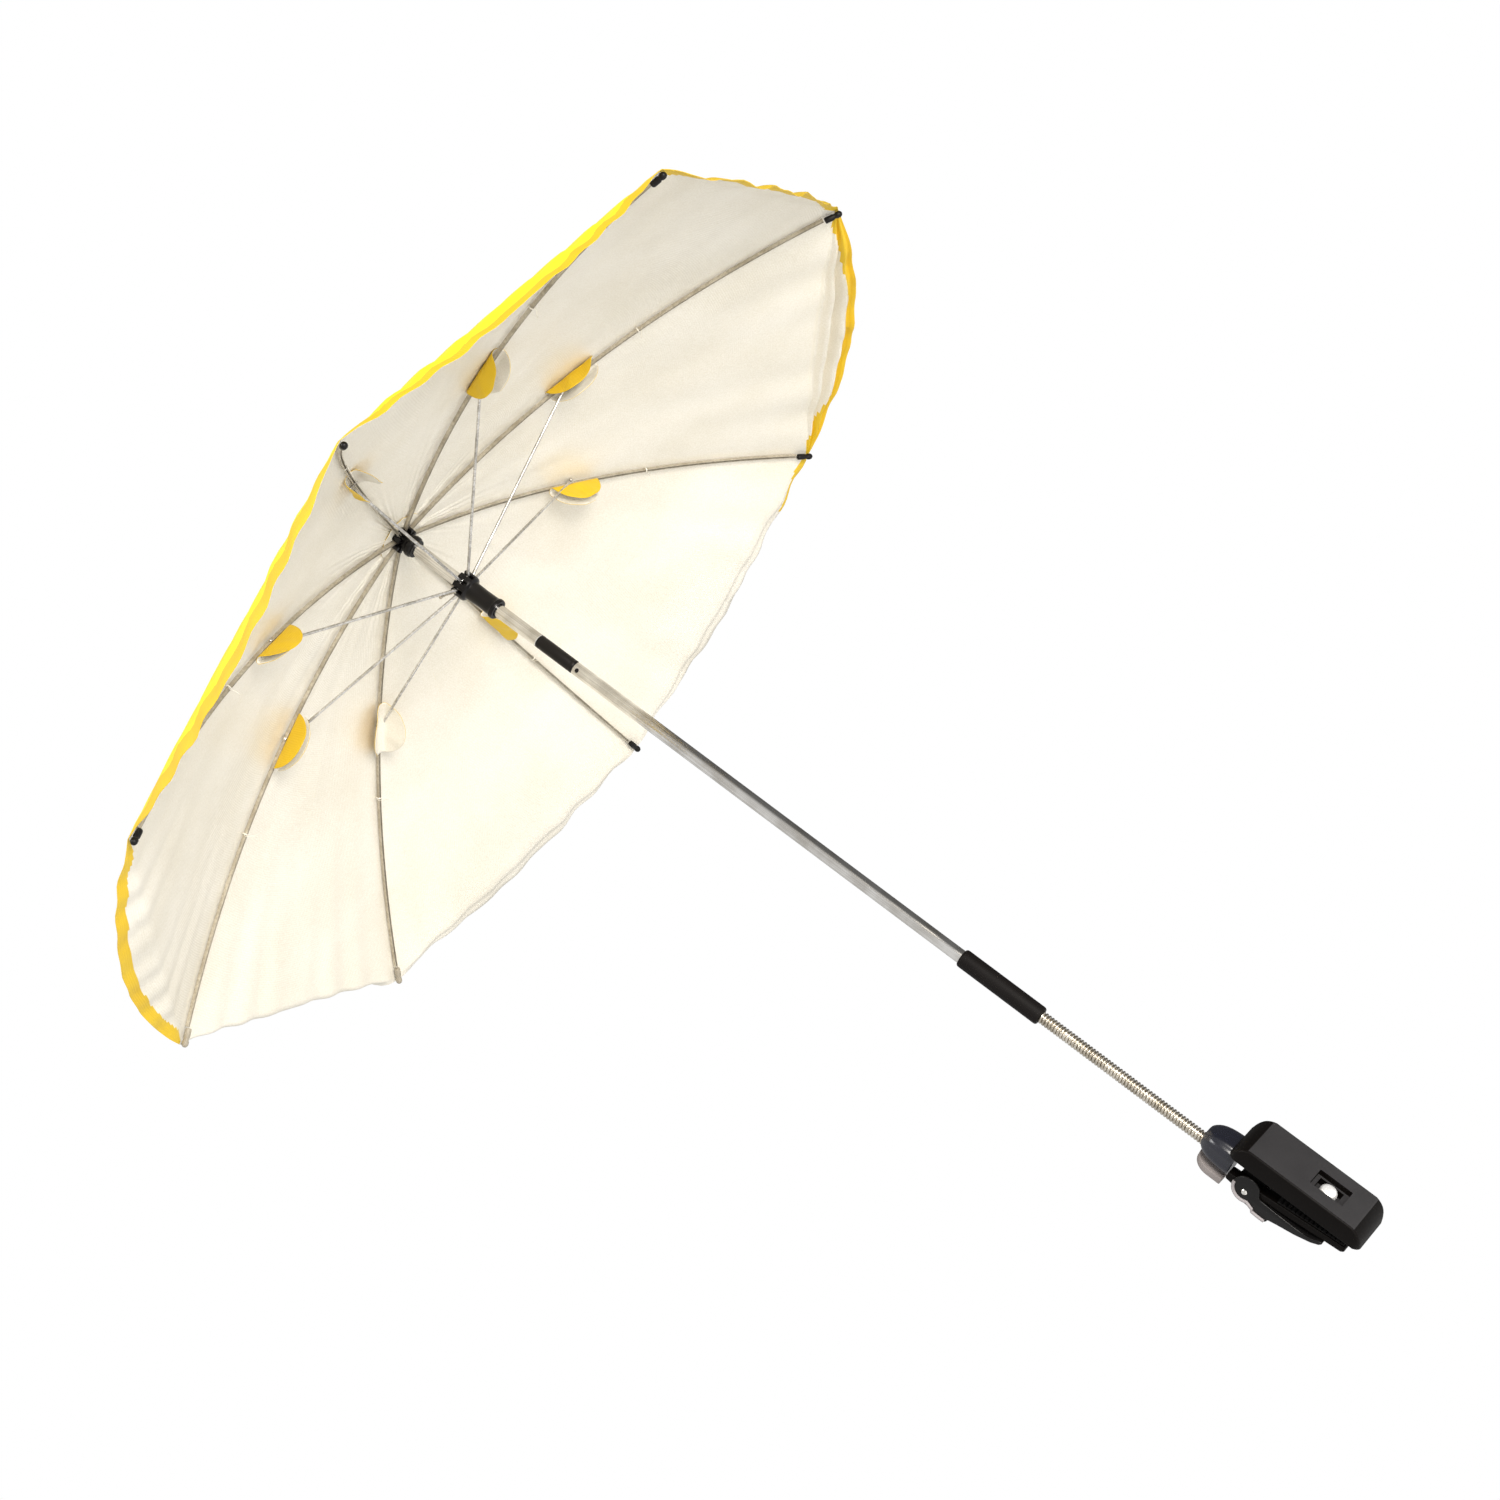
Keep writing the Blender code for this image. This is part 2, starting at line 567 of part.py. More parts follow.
def make_bolt():
    steel = material("bolt steel", (0.75, 0.75, 0.74), 0.15, 1.0)
    head = rear_line(BOLT_Z) + REAR_THICK + 0.0005
    screw = turned_mesh("clamp_bolt", [
        (0, 0.0018), (0.0030, 0.0014), (0.0044, 0.0004), (0.0044, 0), (BOLT_R, 0),
        (BOLT_R, -head - 0.0120), (BOLT_R - 0.0005, -head - 0.0125), (0, -head - 0.0125)], 16)
    part("clamp_bolt", screw, steel, (0, head, BOLT_Z), (-pi / 2, 0, 0))
    bore = (BOLT_R + GAP) / cos(pi / 6)
    nut = turned_mesh("clamp_nut", [
        (bore, 0.0023), (0.0050, 0.0023), (0.0050, -0.0023), (bore, -0.0023)], 6)
    part("clamp_nut", nut, material("nut steel", (0.80, 0.80, 0.78), 0.12, 1.0),
         (0, WINDOW_FLOOR - GAP - 0.0023, BOLT_Z), (pi / 2, 0, 0))


def make_lever():
    gloss = material("lever plastic", (0.014, 0.014, 0.015), 0.3)
    outline = arc((CAM_Y, PIN_Z), CAM_R, 262, 0, 14)
    outline += [(0.0226, 0.0410), (0.0244, 0.0405), (0.0244, 0.0296), (0.0214, 0.0288),
                (0.0180, 0.0106), (0.0153, 0.0008), (0.0120, -0.0050), (0.0102, -0.0052),
                (0.0104, -0.0025), (0.0134, 0.0030), (0.0134, 0.0250), (0.0128, 0.0385)]
    lever = part("cam_lever", plate_mesh("cam_lever", outline, LEVER_HALF), gloss, FROM_LEVER, parent=lever_axis)
    width, middle = CHEEK_INSIDE - CAM_HALF, (CHEEK_INSIDE + CAM_HALF) / 2
    above, deep = 0.030, 0.040
    opening = box_mesh("lever_opening", (width, deep, above))
    pocket = box_mesh("lever_pocket", (width, deep, WEB_TOP - POCKET_FOOT + GAP))
    pocket_z = (WEB_TOP + POCKET_FOOT) / 2
    for side, x in (("left", -middle), ("right", middle)):
        cut(lever, cutter(f"opening_{side}", opening, (x, PIN_Y, WEB_TOP + above / 2)))
        cut(lever, cutter(f"pocket_{side}", pocket, (x, WEB_Y - deep / 2, pocket_z)))
    hole = rod_mesh("lever_hole", PIN_R + GAP, 0.040)
    cut(lever, cutter("lever_hole", hole, (0, PIN_Y, PIN_Z), (0, pi / 2, 0)))
    pin = rod_mesh("lever_pin", PIN_R, 2 * LEVER_HALF + 0.0006)
    part("lever_pin", pin, material("pin steel", (0.7, 0.7, 0.7), 0.2, 1.0), rotation=(0, pi / 2, 0),
         parent=lever_axis)


make_pole()
make_crown()
make_runner()
make_ribs()
make_stretchers()
make_tips()
make_panels()
make_sleeve()
make_neck()
make_knuckle()
make_front_jaw()
make_rear_jaw()
make_bolt()
make_lever()
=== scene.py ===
from math import atan2, cos, exp, hypot, pi, radians, sin

import bmesh
import bpy
from mathutils import Matrix, Quaternion, Vector, noise


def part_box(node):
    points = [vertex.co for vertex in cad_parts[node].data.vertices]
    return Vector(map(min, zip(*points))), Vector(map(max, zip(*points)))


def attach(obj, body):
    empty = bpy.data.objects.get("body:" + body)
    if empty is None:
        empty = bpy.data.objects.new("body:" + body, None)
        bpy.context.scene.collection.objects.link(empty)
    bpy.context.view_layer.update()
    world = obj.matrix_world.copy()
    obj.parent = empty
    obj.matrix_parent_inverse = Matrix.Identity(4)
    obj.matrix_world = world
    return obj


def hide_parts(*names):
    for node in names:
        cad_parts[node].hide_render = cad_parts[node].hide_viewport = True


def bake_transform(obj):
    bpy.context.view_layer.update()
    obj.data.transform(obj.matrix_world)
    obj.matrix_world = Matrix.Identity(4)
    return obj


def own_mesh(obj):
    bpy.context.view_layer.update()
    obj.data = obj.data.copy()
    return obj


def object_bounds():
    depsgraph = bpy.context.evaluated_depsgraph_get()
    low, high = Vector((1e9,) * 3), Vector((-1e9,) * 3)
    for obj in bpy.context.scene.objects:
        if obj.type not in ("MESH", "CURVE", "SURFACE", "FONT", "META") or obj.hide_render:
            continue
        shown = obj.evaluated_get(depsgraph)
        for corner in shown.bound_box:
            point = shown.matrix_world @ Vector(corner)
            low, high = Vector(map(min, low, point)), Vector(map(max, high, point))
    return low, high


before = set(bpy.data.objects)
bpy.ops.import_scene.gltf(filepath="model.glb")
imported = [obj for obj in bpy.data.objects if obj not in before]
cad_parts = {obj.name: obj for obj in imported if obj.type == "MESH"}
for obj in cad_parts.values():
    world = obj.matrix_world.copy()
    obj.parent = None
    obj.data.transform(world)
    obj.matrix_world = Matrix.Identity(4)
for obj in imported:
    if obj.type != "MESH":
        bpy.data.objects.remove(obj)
cad_low, cad_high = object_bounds()


# ---------------------------------------------------------------- view, floor and light
# A small product stage: a long lens looks up under the canopy from the clamp's side, over a
# white floor well below, with one broad soft light and a bright white room all round.
crown_low, crown_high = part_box("crown_notch")
POLE = Vector(((crown_low.x + crown_high.x) / 2, (crown_low.y + crown_high.y) / 2, 0))
CROWN = POLE + Vector((0, 0, (crown_low.z + crown_high.z) / 2))

camera_data = bpy.data.cameras.new("camera")
camera_data.sensor_width = 36.0
camera_data.lens = 69.8
camera = bpy.data.objects.new("camera", camera_data)
bpy.context.scene.collection.objects.link(camera)
camera.location = CROWN + Vector((-1.3362, -1.1815, -0.8398))
view_azimuth, view_elevation, view_roll = radians(40.68), radians(17.27), radians(-53.42)
view_line = Vector((cos(view_azimuth) * cos(view_elevation), sin(view_azimuth) * cos(view_elevation),
                    sin(view_elevation)))
turn = view_line.to_track_quat("-Z", "Y") @ Quaternion((0, 0, 1), view_roll)
camera.rotation_euler = turn.to_euler()
camera.data.clip_end = 60
bpy.context.scene.camera = camera
bpy.context.scene.view_settings.view_transform = "Standard"


def linear(colour, alpha=1.0):
    """A hex colour such as "f2c311", read as sRGB, in linear values."""
    parts = [int(colour[i:i + 2], 16) / 255 for i in (0, 2, 4)]
    return (*[p / 12.92 if p <= 0.04045 else ((p + 0.055) / 1.055) ** 2.4 for p in parts], alpha)


def node(tree, kind, inputs=(), **settings):
    """Adds a node to the tree; inputs are (socket, value or output) pairs."""
    made = tree.nodes.new(kind)
    for name, value in settings.items():
        setattr(made, name, value)
    for socket, value in inputs:
        if isinstance(value, bpy.types.NodeSocket):
            tree.links.new(value, made.inputs[socket])
        else:
            made.inputs[socket].default_value = value
    return made


def shade(tree, factor, first, second):
    """The colour that lies between two others by a factor."""
    return node(tree, "ShaderNodeMix", [("Factor", factor), ("A", first), ("B", second)],
                data_type="RGBA").outputs["Result"]


def new_material(name):
    material = bpy.data.materials.new(name)
    material.use_nodes = True
    return material, material.node_tree, material.node_tree.nodes["Principled BSDF"]


def area_light(name, place, aim, size, power, colour="ffffff"):
    data = bpy.data.lights.new(name, "AREA")
    data.shape = "DISK"
    data.size = size
    data.energy = power
    data.color = linear(colour)[:3]
    light = bpy.data.objects.new(name, data)
    light.location = place
    light.rotation_euler = (aim - place).to_track_quat("-Z", "Y").to_euler()
    bpy.context.scene.collection.objects.link(light)


world = bpy.data.worlds.new("white room")
world.use_nodes = True
bpy.context.scene.world = world
sky = world.node_tree
back = sky.nodes["Background"]
back.inputs["Color"].default_value = (1, 1, 1, 1)
seen = node(sky, "ShaderNodeLightPath")
toward = node(sky, "ShaderNodeTexCoord")
facing = node(sky, "ShaderNodeVectorMath", [(0, toward.outputs["Generated"]), (1, (-0.87, 0.45, -0.1))],
              operation="DOT_PRODUCT")
room = node(sky, "ShaderNodeMapRange", [("Value", facing.outputs["Value"]), ("From Min", -0.45), ("From Max", 0.35),
                                        ("To Min", 0.15), ("To Max", 0.72)])
strength = node(sky, "ShaderNodeMix", [("Factor", seen.outputs["Is Camera Ray"]), ("A", room.outputs["Result"]),
                                       ("B", 1.0)])
sky.links.new(strength.outputs["Result"], back.inputs["Strength"])

middle = CROWN - Vector((0, 0, 0.2))
area_light("broad soft light", middle + Vector((-0.9, -2.1, -0.55)), middle, 1.1, 58, "fffbf5")
area_light("top light", middle + Vector((-1.4, -0.6, 1.6)), middle, 1.2, 30)

floor_mesh = bpy.data.meshes.new("floor")
bm = bmesh.new()
bmesh.ops.create_grid(bm, x_segments=1, y_segments=1, size=6,
                      matrix=Matrix.Translation((0, 0, cad_low.z - 0.9)))
bm.to_mesh(floor_mesh)
bm.free()
floor = bpy.data.objects.new("floor", floor_mesh)
bpy.context.scene.collection.objects.link(floor)
painted, tree, shader = new_material("pale painted floor")
shader.inputs["Base Color"].default_value = linear("fbfbfa")
shader.inputs["Roughness"].default_value = 0.9
shader.inputs["Emission Color"].default_value = (1, 1, 1, 1)
shader.inputs["Emission Strength"].default_value = 0.25
floor_mesh.materials.append(painted)


# ---------------------------------------------------------------- canopy
# One cover of light polyester taffeta, dyed yellow and coated silver-white inside, cut in a flat
# circle and sewn from eight gores.  It is taut from tip to tip; the segment outside that line is
# slack, turns as it hangs, and ends in a hem folded inwards.  Each panel is the cloth of one rib.
RIBS = 8
HALF_GORE = pi / RIBS
CLOTH = 0.00035
CLOTH_RISE = 0.0029          # the cloth's middle over the rib's middle line
TIP_R = 0.350
RIB_SLOPE = 0.0556
RIB_BEND = 0.676
ROOT_R = 0.0100
FLAP = 0.0300                # longest reach of the slack edge past the taut line
TIP_FLAP = 0.0025
BOW = 0.0050                 # the taut line bows in by this between two tips
HEM = 0.0085
TAUT = 0.80                  # share of a panel's rows up to the taut line


def rib_z(r):
    return -RIB_SLOPE * r - RIB_BEND * r * r


class Gore:
    """Cloth between two ribs: how its slack edge hangs, in degrees below level and in metres."""

    def __init__(self, number, droop, hem_turn, pleat, frill, seed):
        self.number = number
        self.azimuth = radians(-90) + (2 * number - 1) * HALF_GORE
        self.out = Vector((cos(self.azimuth), sin(self.azimuth), 0))
        self.across = Vector((-sin(self.azimuth), cos(self.azimuth), 0))
        self.droop, self.hem_turn = radians(droop), radians(hem_turn)
        self.pleat, self.frill, self.seed = pleat, frill, seed

    def hem(self, v):
        """Width of the dyed hem strip; gore 7's is turned over twice as wide."""
        return min(0.0165 if self.number == 7 else HEM, TIP_FLAP + FLAP * (1 - v * v))

    def hem_shows(self, v):
        """The hem's dyed side shows inside, except where gores 3 to 5 are folded silver side out."""
        return self.number not in (3, 4, 5) or (self.number == 3 and v < -0.62)

    def taut(self, v, r):
        """A point of the stretched cloth; v runs from -1 on one rib to 1 on the next."""
        edge = 1 - abs(v)
        height = rib_z(r) + CLOTH_RISE
        along = (r - ROOT_R) / (TIP_R - ROOT_R)
        height += 0.0022 * (1 - v * v) * sin(pi * min(1, along)) ** 2
        fold = abs(v) * r * sin(HALF_GORE)
        height -= 0.0004 * exp(-(fold / 0.0036) ** 2) * min(1, along * 4) * exp(-along / 0.5)
        gather = exp(-along / 0.10) * sin(pi * min(1, edge * 1.2)) * 0.0012
        height += gather * cos(9 * pi * v + self.seed)
        pucker = exp(-(edge * r * sin(HALF_GORE)) / 0.007) * min(1, edge * 30)
        height += 0.0007 * pucker * cos(r / 0.0026 + 3 * noise.noise(Vector((r * 60, self.seed, 0))))
        pull = exp(-(TIP_R - r) / 0.06) * sin(pi * edge) * 0.0012
        height += pull * cos(11 * v * (1 + 0.2 * self.seed) + self.seed)
        soft = noise.noise(Vector((v * 2.1 + self.seed * 7, r * 16, self.seed)))
        height += 0.0016 * soft * min(1, edge * 3) * min(1, along * 3)
        return self.out * (r * cos(HALF_GORE)) + self.across * (r * sin(HALF_GORE) * v) + Vector((0, 0, height))

    def point(self, v, share):
        """A point of the whole cloth; share runs from the crown, 0, to the hem, 1."""
        slack = 1 - v * v
        crease = TIP_R - BOW * slack
        if share <= TAUT:
            even = share / TAUT
            return self.taut(v, ROOT_R + (crease - ROOT_R) * even)
        u = (share - TAUT) / (1 - TAUT)
        reach = TIP_FLAP + FLAP * slack
        here = self.taut(v, crease)
        slope = atan2(RIB_SLOPE + 2 * RIB_BEND * TIP_R, cos(HALF_GORE))
        steps = max(1, round(u * 16))
        hem_start = 1 - HEM / reach if reach > HEM else 0
        for i in range(steps):
            w = u * (i + 0.5) / steps
            ease = min(1, w / 0.35)
            ease = ease * ease * (3 - 2 * ease)
            angle = slope + (self.droop - slope) * ease * min(1, slack * 3)
            if w > hem_start:
                angle += (self.hem_turn - self.droop) * (w - hem_start) / (1 - hem_start) * min(1, slack * 3)
            here = here + (self.out * cos(angle) - Vector((0, 0, sin(angle)))) * (u * reach / steps)
        lean = self.out * sin(self.droop) + Vector((0, 0, cos(self.droop)))
        ripple = self.pleat * sin(2.6 * 2 * pi * u + 0.6 * v) * sin(pi * u)
        flutter = cos(v * 17 + 2 * self.seed) + 0.6 * cos(v * 31 + 5 * self.seed)
        crumple = noise.noise(Vector((v * 9 + self.seed, u * 2.5, self.seed * 3)))
        ripple += self.frill * u * (0.55 * flutter + 1.2 * crumple)
        return here + lean * ripple * slack


GORES = {
    1: Gore(1, 58, 70, 0.0000, 0.0022, 1.3),
    2: Gore(2, 24, 30, 0.0062, 0.0012, 2.1),
    3: Gore(3, 2, -34, 0.0005, 0.0012, 3.7),
    4: Gore(4, -2, -38, 0.0004, 0.0009, 4.4),
    5: Gore(5, -54, -85, 0.0000, 0.0004, 5.2),
    6: Gore(6, -4, 4, 0.0003, 0.0006, 6.6),
    7: Gore(7, 42, 52, 0.0000, 0.0006, 7.9),
    8: Gore(8, 45, 54, 0.0000, 0.0006, 8.5),
}


def woven(tree, threads_mm, depth):
    """A taffeta's crossing threads as a bump, threads_mm apart on the cloth's own UV."""
    uv = node(tree, "ShaderNodeUVMap", uv_map="cloth")
    scale = 1000 / threads_mm
    warp = node(tree, "ShaderNodeTexWave", [("Vector", uv.outputs["UV"]), ("Scale", scale / 6.283)],
                bands_direction="X")
    weft = node(tree, "ShaderNodeTexWave", [("Vector", uv.outputs["UV"]), ("Scale", scale / 6.283)],
                bands_direction="Y")
    both = node(tree, "ShaderNodeMath", [(0, warp.outputs["Fac"]), (1, weft.outputs["Fac"])], operation="ADD")
    slubs = node(tree, "ShaderNodeTexNoise", [("Vector", uv.outputs["UV"]), ("Scale", 700.0), ("Detail", 3.0)])
    height = node(tree, "ShaderNodeMath", [(0, both.outputs[0]), (1, slubs.outputs["Fac"])], operation="ADD")
    return node(tree, "ShaderNodeBump", [("Height", height.outputs[0]), ("Strength", depth), ("Distance", 0.0002)])


def silver_coating():
    """Silver-white polyurethane coating: smooth, a little metallic, so folds catch the light."""
    material, tree, shader = new_material("silver-white coated taffeta")
    place = node(tree, "ShaderNodeTexCoord").outputs["Object"]
    clouds = node(tree, "ShaderNodeTexNoise", [("Vector", place), ("Scale", 14.0), ("Detail", 4.0)])
    flecks = node(tree, "ShaderNodeTexNoise", [("Vector", place), ("Scale", 900.0), ("Detail", 1.0)])
    mixed = node(tree, "ShaderNodeMath", [(0, clouds.outputs["Fac"]), (1, flecks.outputs["Fac"])], operation="ADD")
    tone = node(tree, "ShaderNodeMapRange", [("Value", mixed.outputs[0]), ("From Min", 0.7), ("From Max", 1.3)])
    colour = shade(tree, tone.outputs["Result"], linear("e3dccb"), linear("f1ece0"))
    tree.links.new(colour, shader.inputs["Base Color"])
    shader.inputs["Roughness"].default_value = 0.42
    shader.inputs["Metallic"].default_value = 0.12
    tree.links.new(woven(tree, 0.8, 0.25).outputs["Normal"], shader.inputs["Normal"])
    return material


def yellow_taffeta(name, light, dark):
    """Dyed polyester taffeta: an even weave with a slight sheen, its tone varying in soft random clouds."""
    material, tree, shader = new_material(name)
    place = node(tree, "ShaderNodeTexCoord").outputs["Object"]
    clouds = node(tree, "ShaderNodeTexNoise", [("Vector", place), ("Scale", 22.0), ("Detail", 5.0)])
    colour = shade(tree, clouds.outputs["Fac"], linear(dark), linear(light))
    tree.links.new(colour, shader.inputs["Base Color"])
    shader.inputs["Roughness"].default_value = 0.55
    shader.inputs["Sheen Weight"].default_value = 0.2
    shader.inputs["Sheen Tint"].default_value = linear("ffe680")
    tree.links.new(woven(tree, 0.8, 0.3).outputs["Normal"], shader.inputs["Normal"])
    return material


SILVER = silver_coating()
YELLOW = yellow_taffeta("yellow taffeta", "ffe60a", "fbdc05")
# A darker copy of the yellow taffeta, as painted shade; it goes on the hem, the joint guards and the crown rosette.
SHADED_YELLOW = yellow_taffeta("yellow taffeta darkened as painted shade", "e6c20e", "d4aa0a")


def linked(name, mesh):
    obj = bpy.data.objects.new(name, mesh)
    bpy.context.scene.collection.objects.link(obj)
    return obj


def baked(obj):
    """The mesh of an object with its modifier stack applied; the object itself goes."""
    bpy.context.view_layer.update()
    shape = obj.evaluated_get(bpy.context.evaluated_depsgraph_get())
    mesh = bpy.data.meshes.new_from_object(shape)
    mesh.name = obj.name
    bpy.data.objects.remove(obj, do_unlink=True)
    return mesh


ACROSS, ALONG = ((48, 110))


def cloth(name, columns, rows, place, materials, at=Matrix(), closed=False):
    """Coated cloth from a grid; place gives a grid point's place in space and on the flat cloth."""
    mesh = bpy.data.meshes.new(name)
    bm = bmesh.new()
    bmesh.ops.create_grid(bm, x_segments=columns, y_segments=rows, size=1.0)
    uv = bm.loops.layers.uv.new("cloth")
    flat = {}
    for vert in bm.verts:
        vert.co, flat[vert] = place(vert.co.x, vert.co.y)
    if closed:
        bmesh.ops.remove_doubles(bm, verts=bm.verts, dist=1e-6)
    for face in bm.faces:
        face.smooth = True
        for loop in face.loops:
            loop[uv].uv = flat[loop.vert]
    bm.to_mesh(mesh)
    bm.free()
    mesh.transform(at)
    for material in materials:
        mesh.materials.append(material)
    piece = linked(name, mesh)
    wall = piece.modifiers.new("coated wall", "SOLIDIFY")
    wall.thickness = CLOTH
    wall.offset = 0
    wall.material_offset = 1
    return linked(name, baked(piece))


def canopy_panel(number):
    """The cloth on one rib, out to the middle of the gores on both sides."""
    right, left = GORES[number], GORES[RIBS if number == 1 else number - 1]

    def place(x, y):
        t, share = -x, (y + 1) / 2
        gore, v = (right, t - 1) if t >= 0 else (left, t + 1)
        slack = 1 - v * v
        reach = TIP_FLAP + FLAP * slack
        body = (TIP_R - BOW * slack - ROOT_R) * 1.05
        inward = (1 - share) / (1 - TAUT) * reach if share > TAUT else reach + (1 - share / TAUT) * body
        point = gore.point(v, share) + POLE + Vector((0, 0, CROWN.z))
        return point, (sin(HALF_GORE) * (TIP_R - inward) * t, inward)

    panel = cloth(f"canopy_cloth_{number}", ACROSS, ALONG, place, (YELLOW, SILVER, SHADED_YELLOW))
    panel.data.set_sharp_from_angle(angle=radians(75))
    layer = panel.data.uv_layers["cloth"].data
    for face in panel.data.polygons:
        inward = sum(layer[i].uv.y for i in face.loop_indices) / face.loop_total
        t = sum(layer[i].uv.x for i in face.loop_indices) / face.loop_total / (sin(HALF_GORE) * (TIP_R - inward))
        gore, v = (right, t - 1) if t > 0 else (left, t + 1)
        # Within the hem's width, every outer face and each inner face where the dyed hem shows takes the darker
        # yellow: the dyed hem is real, its darker tone is painted shade.
        if inward < gore.hem(v) and (face.material_index == 0 or gore.hem_shows(v)):
            face.material_index = 2
    return panel


for number in range(1, RIBS + 1):
    panel = canopy_panel(number)
    body = f"rib_{number}"
    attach(panel, body)
    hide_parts(f"canopy_panel_{number}")
    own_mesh(panel)


# ---------------------------------------------------------------- joint guards
# A disc of the same cloth for each joint of rib and stretcher, folded in half round the joint
# with its yellow side out, so that the metal doesn't rub the cover.  It hangs under the rib.
GUARD_R = 0.0205
JOINT_R = 0.1538
# per rib: degrees below level of the wings on the clockwise and the other side, and whether the
# disc passes over the rib (1) or under it (-1)
GUARD_WINGS = {1: (80, 92, 1), 2: (61, 118, 1), 3: (88, 92, -1), 4: (62, 120, -1), 5: (84, 34, -1),
               6: (120, 60, -1), 7: (128, 66, -1), 8: (98, 70, 1)}


def rib_frame(number, r=0.0):
    """A place on the rib's middle line at r from the pole: X outwards along it, Z up from it."""
    slope = -(RIB_SLOPE + 2 * RIB_BEND * r) if r else 0
    azimuth = radians(-90) + (number - 1) * 2 * HALF_GORE
    turn = Matrix.Rotation(azimuth, 4, "Z") @ Matrix.Translation((r, 0, rib_z(r)))
    return Matrix.Translation(CROWN) @ turn @ Matrix.Rotation(-atan2(slope, 1), 4, "Y")


def joint_guard(number):
    *wings, over = GUARD_WINGS[number]
    level = 0.0046 if over > 0 else 0.0012
    steps = 12

    def place(a, b):
        x, y = a * (1 - b * b / 2) ** 0.5 * GUARD_R, b * (1 - a * a / 2) ** 0.5 * GUARD_R
        side = 1 if y > 0 else -1
        wing = radians(wings[1 if y > 0 else 0])
        across, down = 0.0, 0.0
        for i in range(steps):
            run = abs(y) * (i + 0.5) / steps
            angle = wing * min(1, run / (level + 0.0030)) ** 1.5
            across += cos(angle) * abs(y) / steps
            down += sin(angle) * abs(y) / steps
        crumple = 0.0016 * noise.noise(Vector((x * 90 + number, y * 60, number * 2.3))) * min(1, abs(y) / 0.008)
        return (x + crumple, side * across + crumple + 0.0002 * side, over * 0.0021 - down), (x, y)

    # The guard's yellow side takes the darker yellow, as painted shade.
    guard = cloth(f"joint_guard_{number}", 28, 32, place, (SHADED_YELLOW, SILVER), rib_frame(number, JOINT_R + 0.001))
    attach(guard, f"rib_{number}")


for number in range(1, RIBS + 1):
    joint_guard(number)


# ---------------------------------------------------------------- crown rosette
# A small wavy disc of the cloth between the ribs and the cover, round the crown, silver below.
def wavy(x, y):
    angle, share = pi * x, (1 - y) / 2
    wave = sin(11 * angle + 2 * share) + 0.6 * sin(17 * angle + 1.3)
    r = 0.0100 + 0.0085 * share
    r += 0.0006 * share * sin(5 * angle)
    flat = (r * cos(angle), r * sin(angle))
    return (*flat, rib_z(r) + 0.0021 + 0.00022 * wave * share), flat


# The rosette's yellow side takes the darker yellow, as painted shade.
piece = cloth("crown_rosette", 144, 10, wavy, (SHADED_YELLOW, SILVER), Matrix.Translation(CROWN), closed=True)
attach(piece, "upper_pole")


# ---------------------------------------------------------------- ribs and their tie threads
# Each rib is a small channel rolled from plated steel strip, open below, with a rivet through it
# at the stretcher's joint; a twist of thread further out ties the cover's seam to it.
def saved(bm, mesh, sharp):
    """The mesh with the bmesh in it, smooth but for edges sharper than so many degrees."""
    bm.to_mesh(mesh)
    bm.free()
    mesh.shade_smooth()
    mesh.set_sharp_from_angle(angle=radians(sharp))
    return mesh


def loft(name, rings, sharp=50):
    """A closed solid through rings of points, all with the same count."""
    bm = bmesh.new()
    loops = [[bm.verts.new(point) for point in ring] for ring in rings]
    count = len(loops[0])
    for first, second in zip(loops, loops[1:]):
        for j in range(count):
            bm.faces.new((first[j], first[(j + 1) % count], second[(j + 1) % count], second[j]))
    bm.faces.new(loops[0][::-1])
    bm.faces.new(loops[-1])
    bmesh.ops.recalc_face_normals(bm, faces=bm.faces)
    return saved(bm, bpy.data.meshes.new(name), sharp)


def swept(name, path, section, sizes=None, side=None):
    """A closed section of (sideways, up) points carried along a path, scaled by sizes per point."""
    rings = []
    for i, point in enumerate(path):
        along = (path[min(i + 1, len(path) - 1)] - path[max(i - 1, 0)]).normalized()
        left = (side or Vector((0, 0, 1)).cross(along)).normalized()
        up = along.cross(left).normalized()
        wide, high = sizes[i] if sizes else (1, 1)
        rings.append([point + left * (x * wide) + up * (y * high) for x, y in section])
    return loft(name, rings, 40)


def circle(radius, sides):
    return [(radius * cos(2 * pi * i / sides), radius * sin(2 * pi * i / sides)) for i in range(sides)]


def turned(name, profile, steps=48, sharp=35):
    """A mesh turned about Z from (radius, height) points, running top to bottom down its outside."""
    cage = bpy.data.meshes.new(name)
    cage.from_pydata([(r, 0, z) for r, z in profile], [(i, i + 1) for i in range(len(profile) - 1)], [])
    guide = linked(name + "_profile", cage)
    screw = guide.modifiers.new("turn", "SCREW")
    screw.steps = screw.render_steps = steps
    screw.use_merge_vertices = True
    screw.merge_threshold = 1e-6
    screw.use_normal_calculate = True
    mesh = baked(guide)
    bm = bmesh.new()
    bm.from_mesh(mesh)
    bmesh.ops.remove_doubles(bm, verts=bm.verts, dist=2e-6)
    bmesh.ops.recalc_face_normals(bm, faces=bm.faces)
    return saved(bm, mesh, sharp)


def finished(name, mesh, material, body, slot, *nodes, at=(0, 0, 0)):
    """A piece from its mesh: placed, painted, carried by its body, standing for its CAD nodes."""
    mesh.transform(Matrix.Translation(at))
    obj = linked(name, mesh)
    mesh.materials.clear()
    mesh.materials.append(material)
    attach(obj, body)
    if nodes:
        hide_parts(*nodes)
    return obj


